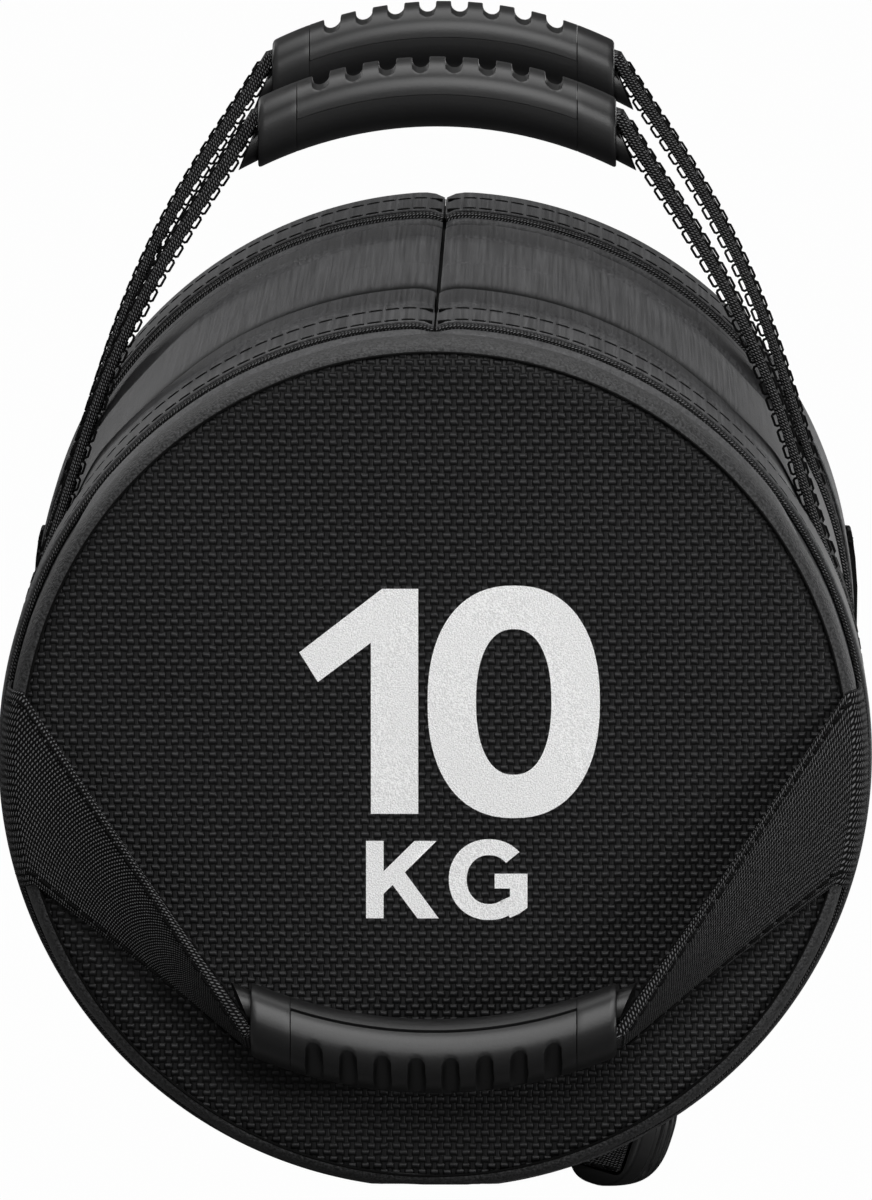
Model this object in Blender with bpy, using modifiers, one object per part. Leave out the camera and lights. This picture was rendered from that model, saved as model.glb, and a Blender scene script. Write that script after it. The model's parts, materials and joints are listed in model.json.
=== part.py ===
"""Training sandbag: a stuffed cylinder of coated cloth with webbing bands and five padded handles.

Metres, +Z up. The bag lies along Y with its marked end towards -Y. The origin is below the bag's
axis at mid-length, level with the lowest point, which is on the belly handle's grip. Shapes are
worked out about the bag's own axis, and an empty carries them at its height.
"""

import math

import bmesh
import bpy
from mathutils import Matrix, Vector

# The bag
BODY_LENGTH = 0.500
BODY_RADIUS = 0.115
FLAT_DEPTH = 0.0012
FIT_GAP = 0.0003
OVERRUN = 0.003

# The cover, its lengthwise seam and the tape behind the seam
COVER_THICKNESS = 0.0012
SEAM_GAP = 0.0008
TAPE_WIDTH = 0.024
TAPE_THICKNESS = 0.0010

# The two ends
WELT_DEPTH = 0.004
WELT_LENGTH = 0.010
PANEL_THICKNESS = 0.0012
PANEL_RECESS = 0.0005

# The filling
PAD_THICKNESS = 0.020
SAND_BAG_SHARE = 0.574
SAND_BAG_DROP_SHARE = 0.370
SAND_BAG_CORNER = 0.014
LINER_THICKNESS = 0.0008
LINER_END_ROOM = 0.002
NECK_RADIUS = 0.012
NECK_LENGTH = 0.018
TIE_RADIUS = 0.0022

# Webbing sewn to the body
WEBBING_WIDTH = 0.050
WEBBING_THICKNESS = 0.0024
BAND_INSET = 0.025
BAND_SEAM_GAP = 0.0022

# Top handles
TOP_HANDLE_OFFSET = 0.130
TOP_LANDING_ANGLE = math.radians(23)
TOP_GRIP_HEIGHT = 0.1611
TOP_STRAP_BOW = 0.0065

# End handles
END_WEBBING_THICKNESS = 0.0014
END_HINGE_DROP = 0.006
END_WEBBING_RISE = 0.020
END_WEBBING_FALL = 0.033
END_ANCHOR_TURN = math.radians(62)
END_LEAVING_TURN = math.radians(12)
END_GRIP_REACH = 0.063
END_LEAN = math.radians(15.7)

# Belly handle
BELLY_ANCHOR_ANGLE = math.radians(8.9)
BELLY_ANCHOR_LENGTH = 0.020
BELLY_GRIP_REACH = 0.030
BELLY_LEAN = math.radians(72)

# The grip that every handle carries
GRIP_LENGTH = 0.0978
GRIP_THICKNESS = 0.0190
GRIP_WIDTH = 0.0280
GRIP_SAGITTA = 0.0100
TOP_GRIP_SAGITTA = 0.0114
COLLAR_LENGTH = 0.0106
SADDLE_THICKNESS = 0.0049
SADDLE_SIDE_THICKNESS = 0.0025
SLEEVE_FLOOR = 0.0018
SLEEVE_ROOF = 0.0014
CAVITY_WIDTH = 0.0196
NOTCH_COUNT = 8
NOTCH_PITCH = 0.0091
NOTCH_WIDTH = 0.0048
NOTCH_DEPTH = 0.0044
FOLDED_WIDTH = 0.0172
FOLDED_THICKNESS = 0.0034
MOUTH_RISE = 0.0046
CORE_OVERHANG = 0.0055
CORE_GAP = 0.0004

# Counts of facets and the roundness of the grip's sections
HOOP_STEPS = 72
DISC_STEPS = 48
SAND_STEPS = 24
SECTION_POINTS = 16
SADDLE_POINTS = 9
GRIP_STATIONS = 7
RIM_STEPS = 4
LEG_STATIONS = 7
ROUND_POWER = 2.6
SQUARE_POWER = 8.0
BOW_POWER = 1.25
WEBBING_SHARES = (-0.5, -0.25, 0, 0.25, 0.5)

# The two ends of the bag and the way along Y that each one faces
FRONT, REAR = -1, 1
ENDS = (("front", FRONT), ("rear", REAR))

# Sizes worked out from those above
HALF_LENGTH = BODY_LENGTH / 2
SAND_BAG_RADIUS = BODY_RADIUS * SAND_BAG_SHARE
SAND_BAG_DROP = BODY_RADIUS * SAND_BAG_DROP_SHARE
COVER_HALF = HALF_LENGTH - WELT_LENGTH - FIT_GAP
STRAP_MIDDLE = FIT_GAP + WEBBING_THICKNESS / 2
WADDING_RADIUS = BODY_RADIUS - COVER_THICKNESS - max(FLAT_DEPTH, TAPE_THICKNESS + FIT_GAP) - FIT_GAP
PANEL_BACK = HALF_LENGTH - PANEL_RECESS - PANEL_THICKNESS
WADDING_HALF = PANEL_BACK - PAD_THICKNESS - 2 * FIT_GAP
COLLAR_START = GRIP_LENGTH / 2 - COLLAR_LENGTH
CAVITY_FLOOR = -GRIP_THICKNESS / 2 + SLEEVE_FLOOR
CAVITY_ROOF = GRIP_THICKNESS / 2 - SADDLE_THICKNESS - FIT_GAP - SLEEVE_ROOF
WEBBING_LIFT = CAVITY_ROOF - 2 * CORE_GAP - FOLDED_THICKNESS / 2
CORE_ROOF = WEBBING_LIFT - FOLDED_THICKNESS / 2 - CORE_GAP
CORE_FLOOR = CAVITY_FLOOR + CORE_GAP
CORE_WIDTH = CAVITY_WIDTH - 5 * CORE_GAP

MATERIALS = {
    "coated_cloth": ((0.062, 0.062, 0.064), 0.42),
    "embossed_cloth": ((0.020, 0.020, 0.020), 0.55),
    "webbing": ((0.012, 0.012, 0.012), 0.85),
    "grip_rubber": ((0.040, 0.040, 0.040), 0.50),
    "core_rubber": ((0.015, 0.015, 0.015), 0.60),
    "wadding": ((0.620, 0.600, 0.560), 0.95),
    "liner_film": ((0.700, 0.700, 0.680), 0.35),
    "sand": ((0.520, 0.400, 0.240), 0.95),
    "tie_cord": ((0.800, 0.800, 0.780), 0.60),
}


def clear_scene():
    """Empties the scene."""
    for old in list(bpy.data.objects):
        bpy.data.objects.remove(old, do_unlink=True)


def new_collection(name):
    """A collection linked to the scene."""
    collection = bpy.data.collections.new(name)
    bpy.context.scene.collection.children.link(collection)
    return collection


def make_material(name):
    """A Principled material from the table above."""
    color, roughness = MATERIALS[name]
    material = bpy.data.materials.get(name) or bpy.data.materials.new(name)
    material.use_nodes = True
    shader = material.node_tree.nodes["Principled BSDF"]
    shader.inputs["Base Color"].default_value = (*color, 1.0)
    shader.inputs["Roughness"].default_value = roughness
    shader.inputs["Metallic"].default_value = 0.0
    material.diffuse_color = (*color, 1.0)
    return material


def add_object(name, data, material, parent, place=Matrix.Identity(4)):
    """Links an object under its parent. The mesh or curve is in the parent's frame, moved by place."""
    data.materials.append(make_material(material))
    obj = bpy.data.objects.new(name, data)
    PARTS.objects.link(obj)
    obj.parent = parent
    obj.matrix_basis = place
    return obj


def mesh_from(bm, name):
    """Closes a bmesh into a smooth mesh with sharp edges where it turns."""
    bmesh.ops.recalc_face_normals(bm, faces=bm.faces)
    mesh = bpy.data.meshes.new(name)
    bm.to_mesh(mesh)
    bm.free()
    mesh.shade_smooth()
    mesh.set_sharp_from_angle(angle=math.radians(40))
    return mesh


def bridge(bm, ring, following):
    """Faces between two closed rings of as many vertices."""
    count = len(ring)
    for i in range(count):
        j = (i + 1) % count
        bm.faces.new((ring[i], ring[j], following[j], following[i]))


def loft(name, rings):
    """A closed solid through rings of points, with flat ends."""
    bm = bmesh.new()
    built = [[bm.verts.new(point) for point in ring] for ring in rings]
    for ring, following in zip(built, built[1:]):
        bridge(bm, ring, following)
    bm.faces.new(built[0])
    bm.faces.new(built[-1])
    return mesh_from(bm, name)


def tube_loft(name, outer_rings, inner_rings):
    """A tube with open ends, through rings of its outer and its inner wall."""
    bm = bmesh.new()
    outer = [[bm.verts.new(point) for point in ring] for ring in outer_rings]
    inner = [[bm.verts.new(point) for point in ring] for ring in inner_rings]
    for walls in (outer, inner):
        for ring, following in zip(walls, walls[1:]):
            bridge(bm, ring, following)
    bridge(bm, outer[0], inner[0])
    bridge(bm, outer[-1], inner[-1])
    return mesh_from(bm, name)


def sheet_rings(rows, thicknesses):
    """Rings round a sheet that is given as rows of points along its middle surface."""
    rings = []
    for i, row in enumerate(rows):
        before = rows[max(i - 1, 0)]
        after = rows[min(i + 1, len(rows) - 1)]
        front, back = [], []
        for j, point in enumerate(row):
            along = (after[j] - before[j]).normalized()
            across = (row[min(j + 1, len(row) - 1)] - row[max(j - 1, 0)]).normalized()
            shift = along.cross(across).normalized() * (thicknesses[i] / 2)
            front.append(point + shift)
            back.append(point - shift)
        rings.append(front + back[::-1])
    return rings


def add_turned(name, profile, material, end, drop=0, steps=DISC_STEPS, closed=False):
    """A profile of (radius, height) turned about the bag's axis, with heights towards the given end."""
    mesh = bpy.data.meshes.new(name)
    points = [(radius, 0, height) for radius, height in profile]
    edges = [(i, i + 1) for i in range(len(points) - 1)]
    if closed:
        edges.append((len(points) - 1, 0))
    mesh.from_pydata(points, edges, [])
    turn = Matrix.Rotation(math.radians(-90) * end, 4, "X")
    obj = add_object(name, mesh, material, AXIS, Matrix.Translation((0, 0, -drop)) @ turn)
    screw = obj.modifiers.new("turn", "SCREW")
    screw.axis = "Z"
    screw.steps = steps
    screw.render_steps = steps
    screw.use_merge_vertices = True
    screw.merge_threshold = 0.00001
    screw.use_smooth_shade = True
    return obj


def shell_radius(angle, offset):
    """Radius of the body's surface plus an offset, at an angle from straight down."""
    if math.cos(angle) <= 0:
        return BODY_RADIUS + offset
    return min(BODY_RADIUS + offset, (BODY_RADIUS - FLAT_DEPTH + offset) / math.cos(angle))


def shell_point(angle, y, offset):
    """A point over the body's surface, at an angle from straight down towards +X."""
    radius = shell_radius(angle, offset)
    return Vector((radius * math.sin(angle), y, -radius * math.cos(angle)))


def hoop_angles(half_angle):
    """Angles along a hoop from its left end to its right, with none inside the flat."""
    flat = math.acos(1 - FLAT_DEPTH / BODY_RADIUS)
    count = max(2, round(HOOP_STEPS * (half_angle - flat) / (2 * math.pi)))
    side = [flat + (half_angle - flat) * i / count for i in range(count + 1)]
    return [-angle for angle in reversed(side)] + side


def add_hoop(name, offset, thickness, half_angle, start, stop, material):
    """A strip bent round the body, open at the top, as an extruded flat outline."""
    angles = hoop_angles(half_angle)
    outline = [shell_point(angle, 0, offset + thickness) for angle in angles]
    outline += [shell_point(angle, 0, offset) for angle in reversed(angles)]
    curve = bpy.data.curves.new(name, "CURVE")
    curve.dimensions = "2D"
    curve.fill_mode = "BOTH"
    curve.extrude = (stop - start) / 2
    spline = curve.splines.new("POLY")
    spline.points.add(len(outline) - 1)
    for corner, point in zip(spline.points, outline):
        corner.co = (point.x, point.z, 0, 1)
    spline.use_cyclic_u = True
    stand = Matrix.Rotation(math.radians(90), 4, "X")
    middle = Matrix.Translation((0, (start + stop) / 2, 0))
    return add_object(name, curve, material, AXIS, middle @ stand)


def add_cover():
    """The cover tube, a rolled sheet that meets itself at the top, and the tape behind that seam."""
    half_angle = math.pi - SEAM_GAP / (2 * BODY_RADIUS)
    wall = COVER_THICKNESS
    add_hoop("body_cover", -wall, wall, half_angle, -COVER_HALF, COVER_HALF, "coated_cloth")
    tape_offset = -COVER_THICKNESS - FIT_GAP - TAPE_THICKNESS / 2
    tape_half = TAPE_WIDTH / (2 * BODY_RADIUS)
    rows = []
    for y in (-COVER_HALF, COVER_HALF):
        angles = [math.pi - tape_half + tape_half * i / 2 for i in range(5)]
        radius = BODY_RADIUS + tape_offset
        rows.append([Vector((radius * math.sin(a), y, -radius * math.cos(a))) for a in angles])
    mesh = loft("seam_tape", sheet_rings(rows, [TAPE_THICKNESS] * len(rows)))
    add_object("seam_tape", mesh, "coated_cloth", AXIS)


def rim_section(turn, offset=0):
    """Radius and distance from mid-length over the rounded rim, from its face to its side."""
    radius = BODY_RADIUS - WELT_DEPTH + (WELT_DEPTH + offset) * math.sin(turn)
    return radius, HALF_LENGTH - WELT_LENGTH + (WELT_LENGTH + offset) * math.cos(turn)


def add_end(side, end):
    """The rounded rim, the flat end panel inside it and the wadding pad behind the panel."""
    back = HALF_LENGTH - WELT_LENGTH
    inner = BODY_RADIUS - WELT_DEPTH
    profile = [rim_section(math.radians(90) * i / RIM_STEPS) for i in range(RIM_STEPS + 1)]
    profile.append((inner, back))
    add_turned(side + "_rim_welt", profile, "coated_cloth", end, closed=True)
    panel_radius = inner - FIT_GAP
    front = HALF_LENGTH - PANEL_RECESS
    profile = [(0, front), (panel_radius, front), (panel_radius, PANEL_BACK), (0, PANEL_BACK)]
    add_turned(side + "_end_panel", profile, "embossed_cloth", end)
    pad_front = PANEL_BACK - FIT_GAP
    pad_back = pad_front - PAD_THICKNESS
    pad_neck = inner - FIT_GAP
    pad_step = back - FIT_GAP
    profile = [(0, pad_front), (pad_neck, pad_front), (pad_neck, pad_step)]
    profile += [(WADDING_RADIUS, pad_step), (WADDING_RADIUS, pad_back), (0, pad_back)]
    add_turned(side + "_wadding_pad", profile, "wadding", end)


def circle(radius, drop, count):
    """Points round a circle that lies below the axis."""
    turns = [2 * math.pi * i / count for i in range(count)]
    return [(radius * math.cos(turn), radius * math.sin(turn) - drop) for turn in turns]


def add_filling():
    """The wadding tube, and low inside it the tied inner bag of sand."""
    curve = bpy.data.curves.new("wadding_tube", "CURVE")
    curve.dimensions = "2D"
    curve.fill_mode = "BOTH"
    curve.extrude = WADDING_HALF
    outlines = (
        circle(WADDING_RADIUS, 0, DISC_STEPS),
        circle(SAND_BAG_RADIUS + 2 * FIT_GAP, SAND_BAG_DROP, SAND_STEPS),
    )
    for outline in outlines:
        spline = curve.splines.new("POLY")
        spline.points.add(len(outline) - 1)
        for corner, (x, z) in zip(spline.points, outline):
            corner.co = (x, z, 0, 1)
        spline.use_cyclic_u = True
    add_object("wadding_tube", curve, "wadding", AXIS, Matrix.Rotation(math.radians(90), 4, "X"))

    top = WADDING_HALF - LINER_END_ROOM
    shoulder = -top + NECK_LENGTH
    outer = rounded_can(SAND_BAG_RADIUS, top, shoulder, SAND_BAG_CORNER)
    wall = LINER_THICKNESS
    inner = rounded_can(SAND_BAG_RADIUS - wall, top - wall, shoulder + wall, SAND_BAG_CORNER - wall)
    neck = [(NECK_RADIUS, shoulder), (NECK_RADIUS, -top), (NECK_RADIUS - wall, -top)]
    neck.append((NECK_RADIUS - wall, shoulder + wall))
    profile = outer + neck + inner[::-1]
    add_turned("sand_bag_liner", profile, "liner_film", FRONT, SAND_BAG_DROP, SAND_STEPS)
    room = wall + FIT_GAP
    sand = rounded_can(SAND_BAG_RADIUS - room, top - room, shoulder + room, SAND_BAG_CORNER - room)
    sand.append((0, shoulder + room))
    add_turned("sand_fill", sand, "sand", FRONT, SAND_BAG_DROP, SAND_STEPS)
    ring = [math.radians(45) * i for i in range(8)]
    reach = NECK_RADIUS + FIT_GAP + TIE_RADIUS
    level = shoulder - NECK_LENGTH / 2
    tie = [(reach + TIE_RADIUS * math.sin(a), level + TIE_RADIUS * math.cos(a)) for a in ring]
    add_turned("liner_tie", tie, "tie_cord", FRONT, SAND_BAG_DROP, SAND_STEPS, closed=True)


def rounded_can(radius, top, bottom, corner):
    """The outer side of a can with rounded corners, from its top centre to its bottom corner."""
    bends = [math.radians(90) * i / 3 for i in range(4)]
    side = [(radius - corner + corner * math.sin(a), top - corner + corner * math.cos(a)) for a in bends]
    for a in bends:
        side.append((radius - corner + corner * math.cos(a), bottom + corner - corner * math.sin(a)))
    return [(0, top)] + side


def add_bands():
    """The end bands and the belly straps, which the top handles run into."""
    band_half = math.pi - BAND_SEAM_GAP / (2 * BODY_RADIUS)
    strap_half = math.radians(90) + TOP_LANDING_ANGLE
    for side, end in ENDS:
        band_middle = end * (HALF_LENGTH - BAND_INSET - WEBBING_WIDTH / 2)
        strap_middle = end * TOP_HANDLE_OFFSET
        for name, half_angle, middle in (
            (side + "_end_band", band_half, band_middle),
            (side + "_belly_strap", strap_half, strap_middle),
        ):
            start = middle - WEBBING_WIDTH / 2
            stop = middle + WEBBING_WIDTH / 2
            add_hoop(name, FIT_GAP, WEBBING_THICKNESS, half_angle, start, stop, "webbing")


class Handle:
    """A handle's frame: across between its legs, width of its webbing, outward to its grip."""

    def __init__(self, name, hinge, across, outward, reach, sagitta):
        self.name = name
        self.hinge = Vector(hinge)
        self.reach = reach
        self.sagitta = sagitta
        across = Vector(across)
        outward = Vector(outward)
        width = outward.cross(across)
        self.turn = Matrix((across, width, outward)).transposed()
        self.empty = bpy.data.objects.new(name + "_hinge", None)
        self.empty.empty_display_size = WEBBING_WIDTH
        PARTS.objects.link(self.empty)
        self.empty.parent = AXIS
        self.empty.location = self.hinge

    def point(self, x, w, n):
        """A point given across, along the width and outward, counted from the hinge."""
        return self.turn @ Vector((x, w, n))

    def local(self, point):
        """Across, along the width and outward from the hinge, for a point about the bag's axis."""
        return self.turn.transposed() @ (Vector(point) - self.hinge)

    def arch(self, x):
        """How far outward the grip's middle line is at a place across."""
        half = GRIP_LENGTH / 2
        radius = (half**2 + self.sagitta**2) / (2 * self.sagitta)
        return self.reach + math.sqrt(radius**2 - x**2) - math.sqrt(radius**2 - half**2)


def oval(half_width, half_height, power, count=SECTION_POINTS, middle=0):
    """A rounded section as pairs of width and height, squarer with a higher power."""
    points = []
    for i in range(count):
        turn = 2 * math.pi * i / count
        c, s = math.cos(turn), math.sin(turn)
        w = math.copysign(abs(c) ** (2 / power), c) * half_width
        n = math.copysign(abs(s) ** (2 / power), s) * half_height
        points.append((w, middle + n))
    return points


def mouth_rise(x):
    """How far the cavity's roof climbs inside a collar, towards the end of the grip."""
    share = min(max((abs(x) - COLLAR_START) / COLLAR_LENGTH, 0), 1)
    return MOUTH_RISE * share


def stations(half, count, extra=()):
    """Places across from one end to the other, evenly spread, with some named ones."""
    even = [-half + 2 * half * i / (count - 1) for i in range(count)]
    return sorted(even + [sign * place for place in extra for sign in (-1, 1)])


def section_ring(handle, x, section):
    """A section in a plane across the grip, raised to the arch."""
    rise = handle.arch(x)
    return [handle.point(x, w, rise + n) for w, n in section]


def add_sleeve(handle):
    """The rubber sleeve with its two collars, its cavity and the recess for the saddle."""
    half = GRIP_LENGTH / 2
    outer_section = oval(GRIP_WIDTH / 2, GRIP_THICKNESS / 2, ROUND_POWER)
    outer, inner = [], []
    for x in stations(half, GRIP_STATIONS, extra=(COLLAR_START,)):
        roof = CAVITY_ROOF + mouth_rise(x)
        middle = (roof + CAVITY_FLOOR) / 2
        hollow = oval(CAVITY_WIDTH / 2, (roof - CAVITY_FLOOR) / 2, SQUARE_POWER, middle=middle)
        outer.append(section_ring(handle, x, outer_section))
        inner.append(section_ring(handle, x, hollow))
    name = handle.name + "_grip_sleeve"
    sleeve = add_object(name, tube_loft(name, outer, inner), "grip_rubber", handle.empty)
    recess = saddle_mesh(handle, name + "_recess", COLLAR_START, 0, OVERRUN)
    cut(sleeve, recess, handle)


def saddle_mesh(handle, name, half, gap, outset):
    """The saddle's form, or the recess for it with no gap and an outset."""
    width = GRIP_WIDTH / 2
    height = GRIP_THICKNESS / 2
    outer = oval(width + outset, height + outset, ROUND_POWER, 2 * SADDLE_POINTS - 2)[:SADDLE_POINTS]
    inner_width = width - SADDLE_SIDE_THICKNESS - FIT_GAP + gap
    inner_height = height - SADDLE_THICKNESS - FIT_GAP + gap
    inner = oval(inner_width, inner_height, ROUND_POWER, 2 * SADDLE_POINTS - 2)[:SADDLE_POINTS]
    section = [(w, max(n, gap)) for w, n in outer + inner[::-1]]
    rings = [section_ring(handle, x, section) for x in stations(half, GRIP_STATIONS)]
    return loft(name, rings)


def notch_mesh(handle, name):
    """Round-bottomed slots across the saddle, as one cutter of separate bodies."""
    bm = bmesh.new()
    half = NOTCH_WIDTH / 2
    side = GRIP_WIDTH / 2 + OVERRUN
    for i in range(NOTCH_COUNT):
        x = (i - (NOTCH_COUNT - 1) / 2) * NOTCH_PITCH
        top = handle.arch(x) + GRIP_THICKNESS / 2
        centre = top - NOTCH_DEPTH + half
        bends = [math.pi + math.pi * k / 4 for k in range(5)]
        outline = [(x + half * math.cos(a), centre + half * math.sin(a)) for a in bends]
        outline += [(x + half, top + OVERRUN), (x - half, top + OVERRUN)]
        rings = [[bm.verts.new(handle.point(u, w, n)) for u, n in outline] for w in (-side, side)]
        bridge(bm, rings[0], rings[1])
        bm.faces.new(rings[0])
        bm.faces.new(rings[1])
    return mesh_from(bm, name)


def cut(target, cutter_mesh, handle):
    """Cuts a piece of a handle with a mesh in the same frame."""
    cutter = bpy.data.objects.new(cutter_mesh.name, cutter_mesh)
    CUTTERS.objects.link(cutter)
    cutter.parent = handle.empty
    cutter.hide_render = True
    cutter.display_type = "WIRE"
    boolean = target.modifiers.new("cut", "BOOLEAN")
    boolean.operation = "DIFFERENCE"
    boolean.solver = "EXACT"
    boolean.object = cutter


def add_saddle(handle):
    """The notched rubber saddle that lies in the sleeve's recess."""
    name = handle.name + "_grip_saddle"
    mesh = saddle_mesh(handle, name, COLLAR_START - FIT_GAP, FIT_GAP, 0)
    saddle = add_object(name, mesh, "grip_rubber", handle.empty)
    cut(saddle, notch_mesh(handle, name + "_notches"), handle)


def add_core(handle):
    """The flexible core under the webbing, with slanted ends that stand out of the collars."""
    half = GRIP_LENGTH / 2
    rings = []
    for x in stations(half, GRIP_STATIONS, extra=(COLLAR_START,)):
        roof = CORE_ROOF + mouth_rise(x)
        middle = (roof + CORE_FLOOR) / 2
        section = oval(CORE_WIDTH / 2, (roof - CORE_FLOOR) / 2, ROUND_POWER, 12, middle)
        at_end = abs(x) == half
        ring = []
        for w, n in section:
            slant = CORE_OVERHANG * (roof - n) / (roof - CORE_FLOOR) if at_end else 0
            place = x + math.copysign(slant, x)
            ring.append(handle.point(place, w, handle.arch(place) + n))
        rings.append(ring)
    name = handle.name + "_grip_core"
    add_object(name, loft(name, rings), "core_rubber", handle.empty)


def grip_row(handle, x, lift):
    """The gathered webbing's middle surface at a place across the grip, as across, width, outward."""
    return [Vector((x, FOLDED_WIDTH * share, handle.arch(x) + lift)) for share in WEBBING_SHARES]


def add_webbing(handle, root_rows, thickness, bow):
    """The webbing from one root through the grip to the other, gathered where it enters the grip."""
    half = GRIP_LENGTH / 2
    leaving = grip_row(handle, half, WEBBING_LIFT + MOUTH_RISE)
    for point in leaving:
        point.x += CORE_GAP * 2
    start = root_rows[-1]
    chord = (leaving[2] - start[2]).normalized()
    away = Vector((chord.z, 0, -chord.x))
    leg = list(root_rows)
    for k in range(1, LEG_STATIONS):
        t = k / LEG_STATIONS
        swell = away * bow * math.sin(math.pi * t) ** BOW_POWER
        leg.append([a.lerp(b, t) + swell for a, b in zip(start, leaving)])
    leg.append(leaving)
    places = [x for x in stations(half, GRIP_STATIONS, extra=(COLLAR_START,)) if x >= 0]
    leg += [grip_row(handle, x, WEBBING_LIFT + mouth_rise(x)) for x in reversed(places)]
    gathered = [min(max(k - len(root_rows), 0) / LEG_STATIONS, 1) for k in range(len(leg))]
    depths = [thickness + (FOLDED_THICKNESS - thickness) * share for share in gathered]
    other = [[Vector((-point.x, point.y, point.z)) for point in row] for row in leg[:-1]]
    rings = sheet_rings(leg + other[::-1], depths + depths[-2::-1])
    name = handle.name + "_webbing"
    mesh = loft(name, [[handle.point(*point) for point in ring] for ring in rings])
    add_object(name, mesh, "webbing", handle.empty)


def add_grip(handle):
    """The core, sleeve and saddle of one handle."""
    add_core(handle)
    add_sleeve(handle)
    add_saddle(handle)


def add_top_handle(side, end):
    """A carrying handle over the body, hinged where its belly strap leaves the body."""
    radius = BODY_RADIUS + STRAP_MIDDLE
    landing = Vector((radius * math.cos(TOP_LANDING_ANGLE), 0, radius * math.sin(TOP_LANDING_ANGLE)))
    y = end * TOP_HANDLE_OFFSET
    hinge = (0, y, landing.z)
    reach = TOP_GRIP_HEIGHT - landing.z
    handle = Handle(side + "_top_handle", hinge, (1, 0, 0), (0, 0, 1), reach, TOP_GRIP_SAGITTA)
    lift = Vector((-math.sin(TOP_LANDING_ANGLE), 0, math.cos(TOP_LANDING_ANGLE))) * FIT_GAP
    start = Vector((landing.x, y, landing.z)) + lift
    root = [handle.local(start + Vector((0, WEBBING_WIDTH * share, 0))) for share in WEBBING_SHARES]
    add_webbing(handle, [root], WEBBING_THICKNESS, TOP_STRAP_BOW)
    add_grip(handle)


def side_row(end, side, radius, from_middle):
    """Points over the side of the body, from the lower to the upper edge of an end handle's webbing."""
    low = -math.asin(END_WEBBING_FALL / BODY_RADIUS)
    high = math.asin(END_WEBBING_RISE / BODY_RADIUS)
    row = []
    for share in WEBBING_SHARES:
        angle = (low + high) / 2 + (high - low) * share
        row.append(Vector((side * radius * math.cos(angle), end * from_middle, radius * math.sin(angle))))
    return row


def add_end_handle(side, end):
    """The handle across one end, hinged where its webbing comes round the rim."""
    hinge = (0, end * HALF_LENGTH, -END_HINGE_DROP)
    outward = (0, end * math.sin(END_LEAN), -math.cos(END_LEAN))
    handle = Handle(side + "_end_handle", hinge, (-end, 0, 0), outward, END_GRIP_REACH, GRIP_SAGITTA)
    lift = FIT_GAP + END_WEBBING_THICKNESS / 2
    behind_rim = (BODY_RADIUS + lift, HALF_LENGTH - BAND_INSET + FIT_GAP)
    turns = [math.radians(90) + (END_ANCHOR_TURN - math.radians(90)) * i / 2 for i in range(3)]
    sections = [behind_rim] + [rim_section(turn, lift) for turn in turns]
    for way, place in (("left", -1), ("right", 1)):
        rows = [side_row(end, place, *section) for section in sections]
        name = "_".join((side, "end_handle", way, "anchor"))
        mesh = loft(name, sheet_rings(rows, [END_WEBBING_THICKNESS] * len(rows)))
        add_object(name, mesh, "webbing", AXIS)
    first = END_ANCHOR_TURN - 2 * FIT_GAP / WELT_LENGTH
    turns = [first + (END_LEAVING_TURN - first) * i / 3 for i in range(4)]
    sections = [rim_section(turn, lift) for turn in turns]
    rows = [[handle.local(p) for p in side_row(end, -end, *section)] for section in sections]
    add_webbing(handle, rows, END_WEBBING_THICKNESS, 0)
    add_grip(handle)


def add_belly_handle():
    """The lengthwise handle under the bag, hinged along its two sewn anchors and fallen to one side."""
    radius = BODY_RADIUS + STRAP_MIDDLE
    angle = BELLY_ANCHOR_ANGLE
    hinge = (radius * math.sin(angle), 0, -radius * math.cos(angle))
    outward = (math.sin(BELLY_LEAN), 0, -math.cos(BELLY_LEAN))
    handle = Handle("belly_handle", hinge, (0, 1, 0), outward, BELLY_GRIP_REACH, GRIP_SAGITTA)
    angles = [angle + WEBBING_WIDTH / BODY_RADIUS * share for share in WEBBING_SHARES]
    outer = TOP_HANDLE_OFFSET - WEBBING_WIDTH / 2 - FIT_GAP
    inner = outer - BELLY_ANCHOR_LENGTH
    for side, end in ENDS:
        rows = [[shell_point(a, end * y, STRAP_MIDDLE) for a in angles] for y in (inner, outer)]
        name = "belly_handle_" + side + "_anchor"
        mesh = loft(name, sheet_rings(rows, [WEBBING_THICKNESS] * 2))
        add_object(name, mesh, "webbing", AXIS)
    places = (inner - FIT_GAP, inner - FIT_GAP - WEBBING_THICKNESS)
    root = [[handle.local(shell_point(a, y, STRAP_MIDDLE)) for a in angles] for y in places]
    add_webbing(handle, root, WEBBING_THICKNESS, 0)
    add_grip(handle)


def stand_on_lowest(names):
    """Lifts the bag's axis until the lowest point of the named objects is level with the origin."""
    bpy.context.view_layer.update()
    graph = bpy.context.evaluated_depsgraph_get()
    lowest = 0
    for name in names:
        shown = PARTS.objects[name].evaluated_get(graph)
        points = [shown.matrix_world @ vertex.co for vertex in shown.data.vertices]
        lowest = min([lowest] + [point.z for point in points])
    AXIS.location.z = -lowest


clear_scene()
PARTS = new_collection("training_sandbag")
CUTTERS = new_collection("cutters")
AXIS = bpy.data.objects.new("bag_axis", None)
PARTS.objects.link(AXIS)

add_cover()
add_filling()
add_bands()
for side_name, end_sign in ENDS:
    add_end(side_name, end_sign)
    add_top_handle(side_name, end_sign)
    add_end_handle(side_name, end_sign)
add_belly_handle()
stand_on_lowest(("belly_handle_grip_sleeve", "belly_handle_grip_saddle"))
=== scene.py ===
# %% [markdown]
# # A training sandbag
#
# The real object is a stuffed cylinder of coated cloth, sewn from a tube and two round ends.
# Webbing goes round it, and five handles hang from the webbing, each with the same moulded grip.
# The CAD model fixes every place and size. This file dresses it: each soft piece is made again as
# cloth, each grip is made again with finer curves, and every surface gets a material of its own.

import json
import math

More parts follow.
